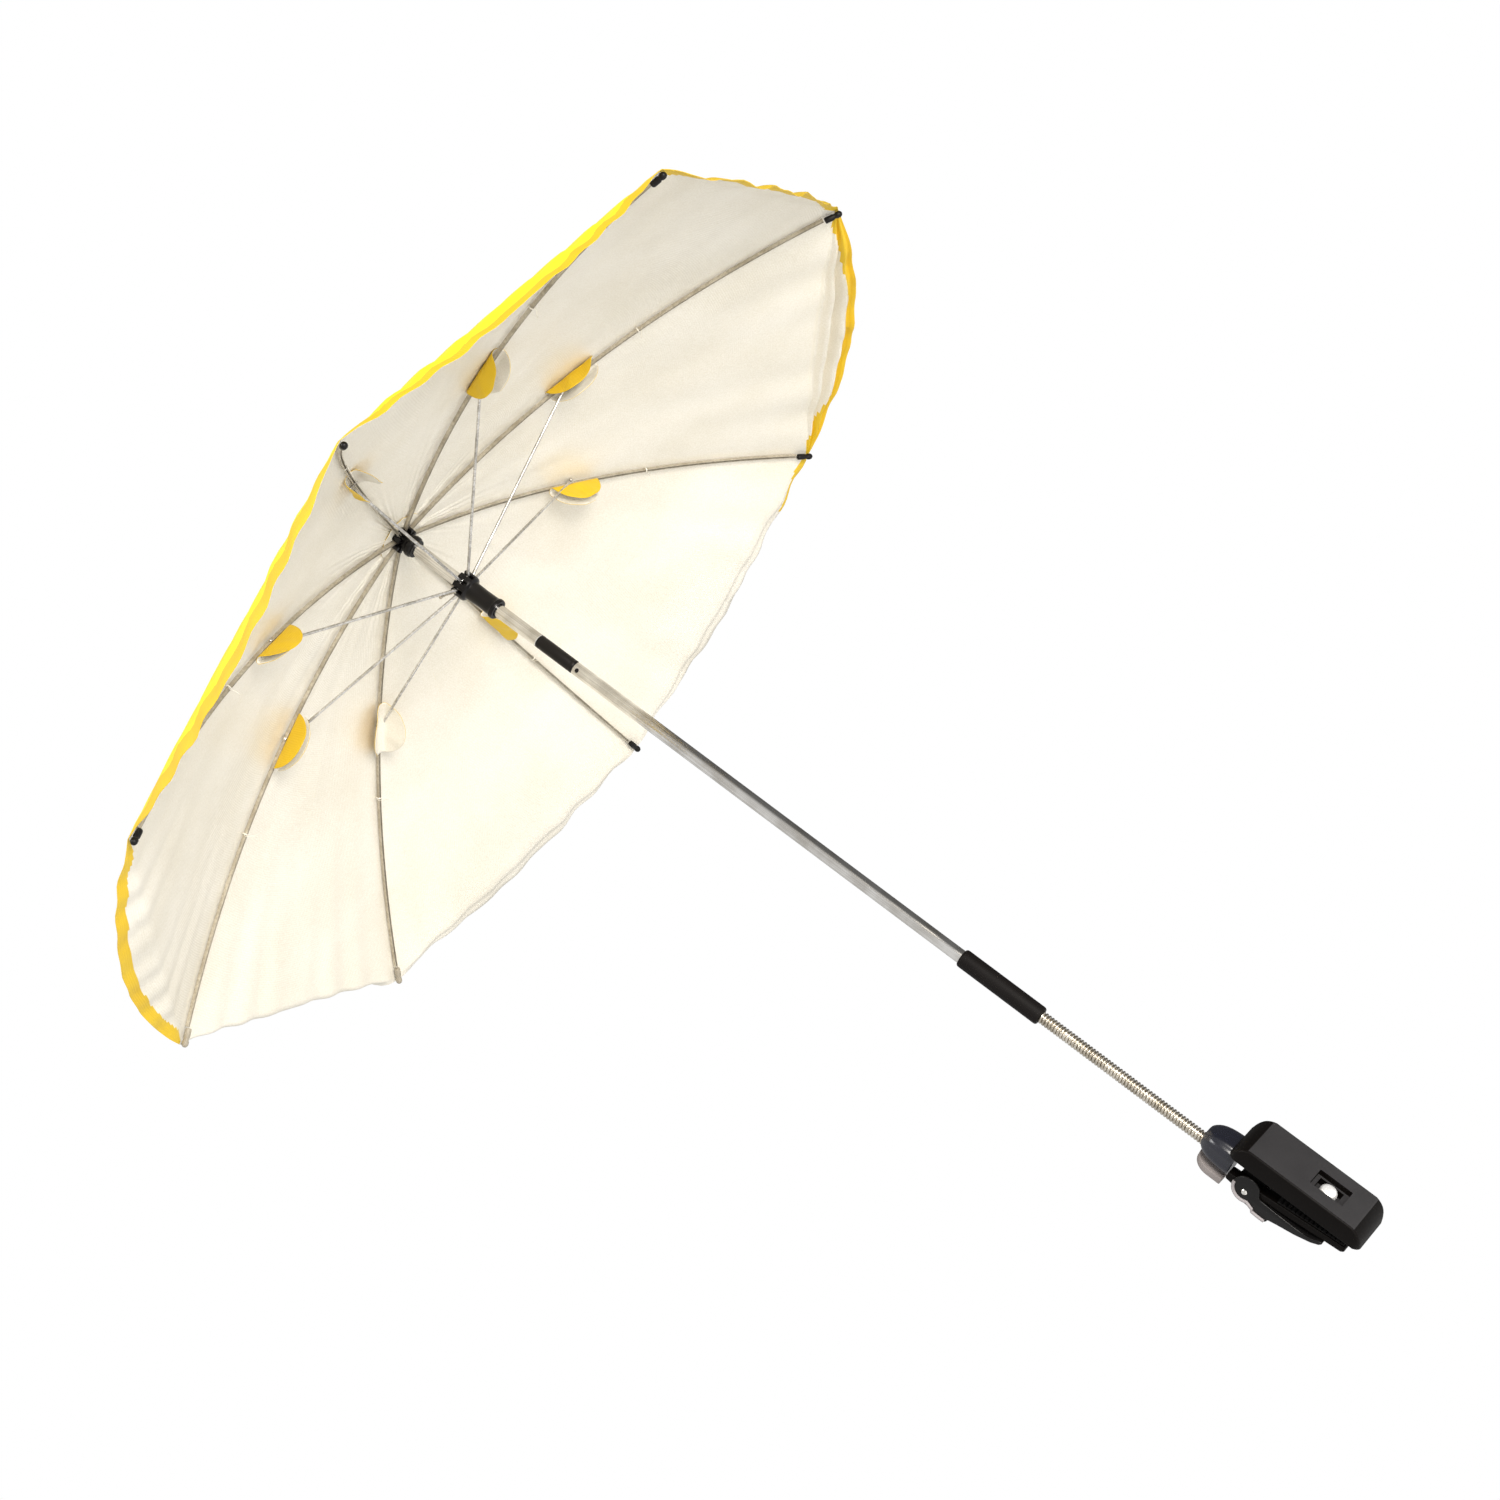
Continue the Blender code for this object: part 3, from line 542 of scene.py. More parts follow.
def plated(name, light, dark, rough, metallic=1.0, streak=(500, 500, 500), wear=0.25):
    """Plated or bare metal: fine streaks vary its shade and gloss as wear does; stretched along the chromed tube they
    are painted reflections.
    """
    material, tree, shader = new_material(name)
    place = node(tree, "ShaderNodeTexCoord").outputs["Object"]
    stretch = node(tree, "ShaderNodeMapping", [("Vector", place), ("Scale", streak)])
    grain = node(tree, "ShaderNodeTexNoise", [("Vector", stretch.outputs["Vector"]), ("Scale", 1.0), ("Detail", 5.0)])
    soft = node(tree, "ShaderNodeTexNoise", [("Vector", place), ("Scale", 60.0), ("Detail", 3.0)])
    both = node(tree, "ShaderNodeMath", [(0, grain.outputs["Fac"]), (1, soft.outputs["Fac"])], operation="MULTIPLY")
    tone = node(tree, "ShaderNodeMapRange", [("Value", both.outputs[0]), ("From Min", 0.14), ("From Max", 0.36)])
    colour = shade(tree, tone.outputs["Result"], linear(dark), linear(light))
    gloss = node(tree, "ShaderNodeMapRange", [("Value", tone.outputs["Result"]), ("To Min", rough + wear * 0.4),
                                              ("To Max", rough)])
    tree.links.new(colour, shader.inputs["Base Color"])
    tree.links.new(gloss.outputs["Result"], shader.inputs["Roughness"])
    shader.inputs["Metallic"].default_value = metallic
    return material


RIB_STEEL = plated("zinc-plated rib strip", "c9c1b0", "a59b88", 0.38, 0.45)
BRIGHT_STEEL = plated("bright drawn wire", "e6e4e0", "aaa59d", 0.24)
half, wall, lip = 0.0013, 0.00040, 0.0010
CHANNEL = [(-lip, -half), (-lip, half * 0.6), (-lip * 0.7, half), (lip * 0.7, half), (lip, half * 0.6), (lip, -half),
           (lip - wall, -half), (lip - wall, half - 0.0006), (wall - lip, half - 0.0006), (wall - lip, -half)]

for number in range(1, RIBS + 1):
    frame_at = rib_frame(number)
    path = [frame_at @ Vector((r, 0, rib_z(r))) for r in [0.0062 + 0.3338 * i / 40 for i in range(41)]]
    side = frame_at.to_3x3() @ Vector((0, 1, 0))
    mesh = swept(f"rolled_rib_{number}", path, CHANNEL, side=side)
    finished(f"rolled_rib_{number}", mesh, RIB_STEEL, f"rib_{number}", "rib_steel", f"rib_{number}")

    rivet = turned(f"joint_rivet_{number}", [
        (0, 0.0021), (0.0008, 0.0020), (0.0013, 0.0016), (0.0013, 0.0013), (0.0007, 0.0012),
        (0.0007, -0.0040), (0.0013, -0.0041), (0.0013, -0.0044), (0.0008, -0.0048), (0, -0.0049)], 20)
    rivet.transform(rib_frame(number, JOINT_R) @ Matrix.Rotation(radians(-90), 4, "X"))
    finished(f"joint_rivet_{number}", rivet, BRIGHT_STEEL, f"rib_{number}", "wire_steel")

    thread_at = rib_frame(number, 0.2130 + 0.006 * sin(number * 2.4))
    winds = []
    for i in range(61):
        a = 2 * pi * i / 20
        spread = 0.0003 * i / 20
        winds.append(thread_at @ Vector((spread, 0.0017 * cos(a), 0.0002 + 0.0020 * sin(a))))
    lean = 0.3 * sin(number * 3.1)
    for i in range(1, 10):
        u = i / 9
        winds.append(thread_at @ Vector((0.0009 + 0.004 * u * lean + 0.0012 * sin(u * 5), 0.0017 - 0.0030 * u * u,
                                         -0.0070 * u + 0.0010 * sin(4 * u))))
    thread = swept(f"tie_thread_{number}", winds, circle(0.00022, 6), side=None)
    finished(f"tie_thread_{number}", thread, SILVER, f"rib_{number}", "canopy_fabric")


# ---------------------------------------------------------------- rib tips
# Moulded black caps pushed on the ribs' ends; the cover's corners are sewn through their eyes.
def moulded(name, colour, rough, grain_mm, depth, coat=0.0, shine=0.22):
    """Moulded plastic or rubber: a fine texture breaks the gloss, with faint shade changes."""
    material, tree, shader = new_material(name)
    place = node(tree, "ShaderNodeTexCoord").outputs["Object"]
    grain = node(tree, "ShaderNodeTexNoise", [("Vector", place), ("Scale", 1000 / grain_mm), ("Detail", 2.0)])
    clouds = node(tree, "ShaderNodeTexNoise", [("Vector", place), ("Scale", 45.0), ("Detail", 4.0)])
    lighter = [min(1, c * 1.5 + 0.001) for c in linear(colour)[:3]] + [1]
    tone = shade(tree, clouds.outputs["Fac"], linear(colour), lighter)
    gloss = node(tree, "ShaderNodeMapRange", [("Value", clouds.outputs["Fac"]), ("To Min", rough - 0.05),
                                              ("To Max", rough + 0.08)])
    bump = node(tree, "ShaderNodeBump", [("Height", grain.outputs["Fac"]), ("Strength", depth),
                                         ("Distance", 0.0001)])
    tree.links.new(tone, shader.inputs["Base Color"])
    tree.links.new(gloss.outputs["Result"], shader.inputs["Roughness"])
    tree.links.new(bump.outputs["Normal"], shader.inputs["Normal"])
    shader.inputs["Coat Weight"].default_value = coat
    shader.inputs["Specular IOR Level"].default_value = shine
    return material


BLACK_CAP = moulded("black moulded cap", "0f0d0c", 0.38, 0.5, 0.2)
LIGHT_GREY_TIP_CAP = moulded("lighter grey tip cap", "8f8778", 0.34, 0.5, 0.2)

for number in range(1, RIBS + 1):
    cap = turned(f"tip_cap_{number}", [
        (0, 0.0130), (0.0010, 0.0128), (0.0018, 0.0121), (0.0023, 0.0109), (0.0023, 0.0090), (0.0018, 0.0082),
        (0.0018, 0.0070), (0.0022, 0.0062), (0.0022, 0.0012), (0.0019, 0.0003), (0, 0)], 24)
    slope = Matrix.Rotation(radians(90), 4, "Y")
    cap.transform(rib_frame(number, 0.3404) @ Matrix.Translation((0.0002, 0, -0.0012)) @ slope)
    # The caps on ribs 5 and 6 are drawn in a lighter grey than the other six.
    finished(f"tip_cap_{number}", cap, LIGHT_GREY_TIP_CAP if number in (5, 6) else BLACK_CAP, f"rib_{number}", "tip_plastic",
             f"rib_tip_{number}")


# ---------------------------------------------------------------- stretchers
# Bright wire struts.  Each end is pressed flat: the inner eye turns on the runner's ring wire,
# the outer one on the rivet beside the rib.
PIVOT_R, PIVOT_DROP, WIRE_R, WIRE_SIDE = 0.0083, 0.0575, 0.0010, 0.0029

for number in range(1, RIBS + 1):
    frame_at = rib_frame(number)
    inner = frame_at @ Vector((PIVOT_R - 0.0008, 0, -PIVOT_DROP))
    outer = frame_at @ Vector((JOINT_R + 0.0009, -WIRE_SIDE, rib_z(JOINT_R)))
    line = outer - inner
    shares = [0, 0.004, 0.010, 0.018, 0.03, 0.2, 0.4, 0.6, 0.8, 0.955, 0.972, 0.984, 0.993, 1]
    flats = [(0.7, 1.1), (0.8, 1.4), (0.8, 1.4), (0.9, 1.2), (1, 1), (1, 1), (1, 1), (1, 1), (1, 1), (1, 1),
             (0.7, 1.5), (0.6, 1.9), (0.6, 1.9), (0.6, 1.2)]
    side = frame_at.to_3x3() @ Vector((0, 1, 0))
    mesh = swept(f"wire_strut_{number}", [inner + line * u for u in shares], circle(WIRE_R, 16), flats, side)
    finished(f"wire_strut_{number}", mesh, BRIGHT_STEEL, f"stretcher_{number}", "wire_steel",
             f"stretcher_{number}")


# ---------------------------------------------------------------- crown
# Moulded black hub: eight teeth with the ribs turning between them on a ring wire, a collar with
# a slanted rim pushed up the tube under it, and a cap and ferrule on top that pin the cover.
def teeth(name, inner, outer, low, high, slot, ease):
    """Eight blocks of a notched ring, between slots that stand at the ribs."""
    mesh = bpy.data.meshes.new(name)
    bm = bmesh.new()
    points = []
    for r, reach in ((inner, slot / 2 / inner), (outer, slot / 2 / outer)):
        span = HALF_GORE - reach
        angles = [HALF_GORE - span + 2 * span * i / 4 for i in range(5)]
        points.append([(r * cos(a), r * sin(a)) for a in angles])
    outline = points[1] + points[0][::-1]
    face = bm.faces.new([bm.verts.new((x, y, low)) for x, y in outline])
    top = bmesh.ops.extrude_face_region(bm, geom=[face])["geom"]
    bmesh.ops.translate(bm, verts=[v for v in top if isinstance(v, bmesh.types.BMVert)], vec=(0, 0, high - low))
    bmesh.ops.recalc_face_normals(bm, faces=bm.faces)
    bmesh.ops.bevel(bm, geom=[e for e in bm.edges if e.calc_face_angle() > radians(40)], offset=ease, segments=2,
                    affect="EDGES", profile=0.5)
    bmesh.ops.spin(bm, geom=bm.faces[:], cent=(0, 0, 0), axis=(0, 0, 1), angle=2 * pi, steps=RIBS,
                   use_duplicate=True, dvec=(0, 0, 0))
    bmesh.ops.remove_doubles(bm, verts=bm.verts, dist=1e-6)
    return saved(bm, mesh, 35)


def joined(name, meshes):
    """Several meshes as one."""
    bm = bmesh.new()
    for mesh in meshes:
        bm.from_mesh(mesh)
    return saved(bm, bpy.data.meshes.new(name), 35)


HUB_BLACK = moulded("glossy black hub", "0a0808", 0.28, 0.7, 0.12, coat=0.05)
TUBE_R = 0.0045
bore = TUBE_R + 0.0003
hub = turned("hub", [(bore, 0.0045), (0.0056, 0.0045), (0.0056, -0.0045), (bore, -0.0045), (bore, 0.0045)], 48)
crown = joined("crown_hub", [hub, teeth("crown_teeth", 0.0052, 0.0095, -0.0045, 0.0045, 0.0032, 0.0005)])
finished("crown_hub", crown, HUB_BLACK, "upper_pole", "crown_plastic", "crown_notch", at=CROWN)

collar = turned("crown_sleeve", [
    (bore, -0.0048), (0.0064, -0.0048), (0.0067, -0.0052), (0.0068, -0.0076), (0.0074, -0.0082),
    (0.0077, -0.0090), (0.0077, -0.0112), (0.0074, -0.0120), (0.0068, -0.0124), (0.0066, -0.0138),
    (bore, -0.0138), (bore, -0.0048)])
finished("crown_sleeve", collar, HUB_BLACK, "upper_pole", "crown_plastic", "crown_collar", at=CROWN)

ferrule = turned("top_ferrule", [
    (0, 0.0180), (0.0014, 0.0178), (0.0023, 0.0171), (0.0030, 0.0158), (0.0034, 0.0140), (0.0038, 0.0110),
    (0.0044, 0.0088), (0.0060, 0.0079), (0.0100, 0.0072), (0.0130, 0.0060), (0.0142, 0.0046), (0.0141, 0.0039),
    (0.0112, 0.0041), (0.0104, 0.0049), (0, 0.0049)], 64)
finished("top_ferrule", ferrule, HUB_BLACK, "upper_pole", "crown_plastic", "crown_cap", at=CROWN)


def ring(name, radius, wire, height):
    path = [Vector((radius * cos(a), radius * sin(a), height)) for a in [2 * pi * i / 64 for i in range(65)]]
    mesh = swept(name, path, circle(wire, 8))
    mesh.transform(Matrix.Translation(CROWN))
    return mesh


finished("crown_ring_wire", ring("crown_ring_wire", 0.0078, 0.0004, 0.0), BRIGHT_STEEL, "upper_pole", "wire_steel")


# ---------------------------------------------------------------- runner
# The black slider: a notched ring that holds the stretchers' eyes on a second wire, whose
# twisted ends stick out above it, over a glossy barrel with a finger lip.
top = -PIVOT_DROP + 0.0045
bore = TUBE_R + 0.0005
barrel = turned("runner_barrel", [
    (bore, top), (0.0062, top), (0.0062, top - 0.0088), (0.0088, top - 0.0090), (0.0086, top - 0.0097),
    (0.0068, top - 0.0108), (0.0065, top - 0.0118), (0.0063, top - 0.0200), (0.0065, top - 0.0290),
    (0.0067, top - 0.0308), (0.0073, top - 0.0316), (0.0073, top - 0.0334), (0.0069, top - 0.0343),
    (bore, top - 0.0343), (bore, top)], 64)
slider = joined("slider", [barrel, teeth("runner_teeth", 0.0058, 0.0093, top - 0.0090, top, 0.0028, 0.0004)])
finished("slider", slider, HUB_BLACK, "runner", "crown_plastic", "runner", at=CROWN)
finished("runner_ring_wire", ring("runner_ring_wire", PIVOT_R, 0.0004, -PIVOT_DROP), BRIGHT_STEEL, "runner",
         "wire_steel")

strands = []
for phase in (0, pi):
    twist = []
    for i in range(41):
        u = i / 40
        a = phase + 2 * pi * 4 * u
        r = 0.0086 + 0.0105 * u
        twist.append(Vector((r, 0.0005 * cos(a), -PIVOT_DROP + 0.0040 * sin(1.4 * u) + 0.0005 * sin(a))))
    strands.append(swept("strand", twist, circle(0.00042, 8)))
bead = turned("wire_end", [(0, 0.0012), (0.0009, 0.0008), (0.0012, 0), (0.0009, -0.0008), (0, -0.0012)], 16)
bead.transform(Matrix.Translation((0.0193, 0, -PIVOT_DROP + 0.0040)))
tail = joined("twisted_tail", [*strands, bead])
tail.transform(Matrix.Translation(CROWN) @ Matrix.Rotation(radians(165), 4, "Z"))
finished("twisted_tail", tail, RIB_STEEL, "runner", "wire_steel")


# ---------------------------------------------------------------- pole
# Two lengths of thin drawn and chromed steel tube; the streaks along them in their colour are painted reflections.  A
# black band
# covers the joint, and a pressed dimple under it holds the spring button.
# The lengthwise streaks in this colour are painted reflections running along the tube.
CHROME_PAINTED_REFLECTIONS = plated("chromed tube with painted lengthwise reflections", "eeece8", "bdb8b0", 0.10, streak=(1500, 1500, 9), wear=0.3)
BAND = moulded("black band", "0f0c0a", 0.34, 0.5, 0.15)


def tube(name, top, base):
    ease = 0.0004
    mesh = turned(name, [(0, top), (TUBE_R - ease, top), (TUBE_R, top - ease), (TUBE_R, base + ease),
                         (TUBE_R - ease, base), (0, base)], 64)
    mesh.transform(Matrix.Translation(POLE))
    return mesh


for name, body in (("upper_tube", "upper_pole"), ("lower_tube", "lower_pole")):
    low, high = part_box(name)
    finished(f"drawn_{name}", tube(name, high.z, low.z), CHROME_PAINTED_REFLECTIONS, body, "chrome_tube", name)

low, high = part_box("tube_joiner")
band = turned("black_band", [
    (0, high.z), (0.0044, high.z), (0.0046, high.z - 0.0004), (0.0046, high.z - 0.0024), (0.00450, high.z - 0.0028),
    (0.00460, high.z - 0.0032), (0.0046, low.z + 0.0032), (0.0045, low.z + 0.0028), (0.0046, low.z + 0.0024),
    (0.0046, low.z + 0.0004), (0.0044, low.z), (0, low.z)], 64)
finished("black_band", band, BAND, "upper_pole", "band_plastic", "tube_joiner", at=POLE)

# A black disc on the tube paints the shade in the pressed dimple that holds the spring button.
shade_disc = turned("dimple_shade_disc", [
    (0, 0.0004), (0.0008, 0.0003), (0.0014, 0.0001), (0.0016, -0.0003), (0, -0.0003)], 24)
toward_lens = Matrix.Rotation(radians(-150), 4, "Z") @ Matrix.Translation((TUBE_R, 0, 0))
shade_disc.transform(Matrix.Translation(POLE + Vector((0, 0, low.z - 0.0040))) @ toward_lens
                 @ Matrix.Rotation(radians(90), 4, "Y"))
finished("dimple_shade_disc", shade_disc, BAND, "lower_pole", "band_plastic")


# ---------------------------------------------------------------- sleeve
# A matte black rubber sleeve on the end of the gooseneck, which the tube pushes into.
RUBBER = moulded("matte black rubber", "0e0b0a", 0.56, 0.35, 0.35, shine=0.12)
low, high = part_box("socket_sleeve")
radius = (high.x - low.x) / 2
sleeve = turned("rubber_sleeve", [
    (0.0048, high.z - 0.030), (0.0048, high.z - 0.0002), (0.0052, high.z), (radius - 0.0006, high.z),
    (radius - 0.0001, high.z - 0.0008), (radius, high.z - 0.0020), (radius, low.z + 0.0020),
    (radius - 0.0001, low.z + 0.0008), (radius - 0.0006, low.z), (0, low.z)], 64)
finished("rubber_sleeve", sleeve, RUBBER, "neck_6", "sleeve_rubber", "socket_sleeve", at=POLE)


# ---------------------------------------------------------------- gooseneck
# A bendable arm: round wire wound tight over a core and nickel plated.  Each length here is centred
# on one of the arm's bending points.
NICKEL = plated("nickel-plated coil", "dcd5c9", "a39a8a", 0.24)
NECK_R, COIL_WIRE, TURNS = 0.0041, 0.00105, 9
neck_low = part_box("gooseneck_1")[0].z - 0.0003
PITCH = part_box("gooseneck_2")[0].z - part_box("gooseneck_1")[0].z


def coil(name, low, turns):
    """A length of close coil on its core, from low upwards."""
    cage = bpy.data.meshes.new(name)
    rim = circle(COIL_WIRE, 10)
    cage.from_pydata([(NECK_R - COIL_WIRE + x, 0, z) for x, z in rim], [(i, (i + 1) % 10) for i in range(10)], [])
    guide = linked(name, cage)
    screw = guide.modifiers.new("wind", "SCREW")
    screw.steps = screw.render_steps = 32
    screw.screw_offset = PITCH / TURNS
    screw.iterations = 1
    screw.use_merge_vertices = False
    single = baked(guide)
    bm = bmesh.new()
    for i in range(turns):
        single.transform(Matrix.Translation((0, 0, PITCH / TURNS if i else low + PITCH / TURNS / 2)))
        bm.from_mesh(single)
    bmesh.ops.remove_doubles(bm, verts=bm.verts, dist=1e-6)
    length = turns * PITCH / TURNS
    core = bmesh.ops.create_cone(bm, cap_ends=False, segments=24, radius1=NECK_R - COIL_WIRE,
                                 radius2=NECK_R - COIL_WIRE, depth=length,
                                 matrix=Matrix.Translation((0, 0, low + length / 2)))["verts"]
    rings = [e for e in bm.edges if e.verts[0] in core and abs(e.verts[0].co.z - e.verts[1].co.z) > length / 2]
    bmesh.ops.subdivide_edges(bm, edges=rings, cuts=10, use_grid_fill=True)
    bmesh.ops.recalc_face_normals(bm, faces=bm.faces)
    mesh = bpy.data.meshes.new(name)
    bm.to_mesh(mesh)
    bm.free()
    mesh.transform(Matrix.Translation(POLE))
    mesh.shade_smooth()
    return mesh


for k in range(1, 7):
    bend_z = neck_low + (k - 1) * PITCH
    piece = linked(f"coil_length_{k}", coil(f"coil_length_{k}", bend_z - PITCH / 2, TURNS))
    piece.data.materials.append(NICKEL)
    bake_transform(piece)
    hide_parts(f"gooseneck_{k}")
finished("coil_end", coil("coil_end", neck_low + 5.5 * PITCH, 4), NICKEL, "neck_6", "neck_nickel")


# ---------------------------------------------------------------- clamp: knuckle
# A glossy fluted bell, moulded round the gooseneck's foot, with a matte plate behind it.
def bell():
    low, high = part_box("knuckle_bell")
    middle, depth, height = (low.y + high.y) / 2, (high.y - low.y) / 2, high.z - low.z
    rings = []
    for share, swell in ((0, 0.96), (0.02, 0.985), (0.07, 1.0), (0.25, 0.995), (0.42, 0.97), (0.56, 0.93),
                         (0.68, 0.875), (0.78, 0.80), (0.86, 0.71), (0.92, 0.62), (0.965, 0.53), (0.99, 0.45),
                         (1.0, 0.38)):
        ring = []
        for i in range(120):
            a = 2 * pi * i / 120
            flute = 1 - 0.034 * (0.5 + 0.5 * cos(8 * a)) ** 2 * (1 - share ** 2)
            x, y = (abs(f(a)) ** 0.72 * (1 if f(a) > 0 else -1) * swell * flute for f in (cos, sin))
            ring.append((x * (high.x - low.x) / 2, middle + y * depth, low.z + height * share))
        rings.append(ring)
    return loft("fluted_bell", rings)


def plate(name, outline, half, ease, segments=3):
    """A flat outline of (y, z) points, 2 * half thick along X, with its edges rounded."""
    mesh = bpy.data.meshes.new(name)
    bm = bmesh.new()
    face = bm.faces.new([bm.verts.new((-half, y, z)) for y, z in outline])
    top = bmesh.ops.extrude_face_region(bm, geom=[face])["geom"]
    bmesh.ops.translate(bm, verts=[v for v in top if isinstance(v, bmesh.types.BMVert)], vec=(2 * half, 0, 0))
    bmesh.ops.recalc_face_normals(bm, faces=bm.faces)
    bm.to_mesh(mesh)
    bm.free()
    guide = linked(name, mesh)
    bevel = guide.modifiers.new("eased edges", "BEVEL")
    bevel.width = ease
    bevel.segments = segments
    bevel.limit_method = "ANGLE"
    bevel.angle_limit = radians(40)
    mesh = baked(guide)
    mesh.shade_smooth()
    mesh.set_sharp_from_angle(angle=radians(40))
    return mesh


def arc(centre, radius, start, end, steps):
    """Points on a circle from start to end degrees."""
    angles = [radians(start + (end - start) * i / steps) for i in range(steps + 1)]
    return [(centre[0] + radius * cos(a), centre[1] + radius * sin(a)) for a in angles]


GLOSS = moulded("glossy blue-black plastic", "10111a", 0.24, 1.2, 0.06, coat=0.25, shine=0.5)
PLATE_GREY = moulded("matte grey plastic", "716b69", 0.55, 0.4, 0.3)
finished("fluted_bell", bell(), GLOSS, "clamp_body", "knuckle_gloss", "knuckle_bell")
low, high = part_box("knuckle_backplate")
half = (high.x - low.x) / 2
arch = [(-half, low.z), (half, low.z)] + arc((0, high.z - half), half, 0, 180, 20)
back_plate = plate("knuckle_plate", arch, (high.y - low.y) / 2, 0.0005)
back_plate.transform(Matrix.Translation((0, (low.y + high.y) / 2, 0)) @ Matrix.Rotation(radians(-90), 4, "Z"))
finished("knuckle_plate", back_plate, PLATE_GREY, "clamp_body", "backplate", "knuckle_backplate")


# ---------------------------------------------------------------- clamp: front jaw
# The clamp's body, moulded in black plastic with round ends and a stepped window over the nut;
# its grained front face is coloured lighter than its sides as painted light.  Inside it carry a
# ribbed rubber pad and the block the cam bears on.
def cut(mesh, name, *boxes):
    """The mesh with boxes or rods taken out of it; each is a (mesh, matrix) pair."""
    body = linked(name + "_blank", mesh)
    tools = []
    for i, (shape, place) in enumerate(boxes):
        shape.transform(place)
        tools.append(linked(f"{name}_tool_{i}", shape))
        boolean = body.modifiers.new(f"cut {i}", "BOOLEAN")
        boolean.operation = "DIFFERENCE"
        boolean.object = tools[-1]
    done = baked(body)
    for obj in tools:
        bpy.data.objects.remove(obj, do_unlink=True)
    done.shade_smooth()
    done.set_sharp_from_angle(angle=radians(35))
    return done


def block(size, ease=0.0):
    mesh = bpy.data.meshes.new("block")
    bm = bmesh.new()
    bmesh.ops.create_cube(bm, size=1.0, matrix=Matrix.Diagonal((*size, 1.0)))
    if ease:
        bmesh.ops.bevel(bm, geom=bm.edges[:], offset=ease, segments=3, affect="EDGES", profile=0.5)
    bm.to_mesh(mesh)
    bm.free()
    return mesh


def rod(radius, length, sides=40):
    mesh = bpy.data.meshes.new("rod")
    bm = bmesh.new()
    bmesh.ops.create_cone(bm, cap_ends=True, segments=sides, radius1=radius, radius2=radius, depth=length)
    bm.to_mesh(mesh)
    bm.free()
    return mesh


GRAINED_BLACK_PAINTED_LIGHT = moulded("fine-grained black plastic lightened as painted light", "2b2a2b", 0.5, 0.45, 0.45)
SMOOTH = moulded("smooth black plastic", "070504", 0.42, 0.8, 0.1, shine=0.08)
BOLT_Z, WINDOW_FLOOR = 0.0095, -0.0062
lying = Matrix.Rotation(radians(90), 4, "X")


def jaw_blank():
    """The jaw's solid: a flat face between two ends that curve back, with rounded corners."""
    low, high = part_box("jaw_front")
    end_r, crease, corner = 0.0145, radians(15), 0.0055
    shoulder = end_r * (1 - sin(crease))
    inside = [0.0001, 0.0004, 0.0009, 0.0016, 0.0025, 0.0036, 0.0048, 0.0062, 0.0076, 0.0090, shoulder - 0.0001]
    levels = [low.z + d for d in inside] + [high.z - d for d in inside[::-1]]
    rings = []
    for z in levels:
        d = min(z - low.z, high.z - z)
        front = low.y
        if d < shoulder:
            front += end_r * cos(crease) - (end_r ** 2 - (end_r - d) ** 2) ** 0.5
        front = min(front, high.y - 0.0016)
        half = (high.x - low.x) / 2
        half -= corner - (corner ** 2 - (corner - d) ** 2) ** 0.5 if d < corner else 0
        ease = min(0.0018, (high.y - front) / 2.5)
        ring = []
        for cx, cy, r, start in ((half, high.y, 0.0006, 0), (-half, high.y, 0.0006, 90), (-half, front, ease, 180),
                                 (half, front, ease, 270)):
            centre = (cx - r * (1 if cx > 0 else -1), cy - r * (1 if cy == high.y else -1))
            ring += [(x, y, z) for x, y in arc(centre, r, start, start + 90, 6)]
        rings.append(ring)
    return loft("jaw_blank", rings)


window_z = 0.0095
jaw_low, jaw_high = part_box("jaw_front")
jaw = cut(jaw_blank(), "front_jaw",
          (block((0.0152, 0.0080, 0.0230), 0.0004), Matrix.Translation((0, jaw_low.y, window_z))),
          (block((0.0122, 0.0200, 0.0166), 0.0003),
           Matrix.Translation((0, WINDOW_FLOOR - 0.0100, window_z + 0.0004))),
          (rod(0.0030, 0.010), Matrix.Translation((0, jaw_high.y, BOLT_Z)) @ lying))
finished("front_jaw", jaw, GRAINED_BLACK_PAINTED_LIGHT, "clamp_body", "jaw_plastic", "jaw_front")
# By their normals, the front face keeps the lightened grained black while sides and ends take the darker smooth
# black: a lit face and shaded sides, painted light; the grain is real.
jaw.materials.append(SMOOTH)
for face in jaw.polygons:
    if face.normal.y > -0.93:
        face.material_index = 1

PAD = moulded("black pad rubber", "0b0a0a", 0.72, 0.3, 0.4, shine=0.1)


def ribbed(name, low_z, high_z, half, inner, outer):
    """A pad's section, ribbed on its gripping side; inner and outer give y at a height z."""
    count = round((high_z - low_z) / 0.0030)
    grip = []
    for i in range(count):
        z = low_z + (high_z - low_z) * i / count
        step = (high_z - low_z) / count
        for share, depth in ((0.08, 0.0006), (0.28, 0), (0.72, 0), (0.92, 0.0006)):
            grip.append((inner(z + step * share, depth), z + step * share))
    return plate(name, grip + [(outer(high_z), high_z), (outer(low_z), low_z)], half, 0.0002, 1)


low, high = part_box("pad_front")
pad = ribbed("front_pad", low.z, high.z, high.x, lambda z, d: -d, lambda z: low.y)
finished("front_pad", pad, PAD, "clamp_body", "pad_rubber", "pad_front")
low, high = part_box("cam_rest")
rest = block(high - low, 0.0006)
rest.transform(Matrix.Translation((low + high) / 2))
finished("cam_block", rest, GRAINED_BLACK_PAINTED_LIGHT, "clamp_body", "jaw_plastic", "cam_rest")


# ---------------------------------------------------------------- clamp: rear jaw
# A lighter moulded jaw, hooked over the bolt, with a ribbed pad and two ears for the lever's pin.
REAR_FOOT, REAR_TILT, REAR_THICK, REAR_PAD = -0.0180, 0.0875, 0.0045, 0.0014
PIN = Vector((0, 0.0150, 0.0490))


def rear_line(z):
    return 0.0035 + (z + 0.0220) * REAR_TILT


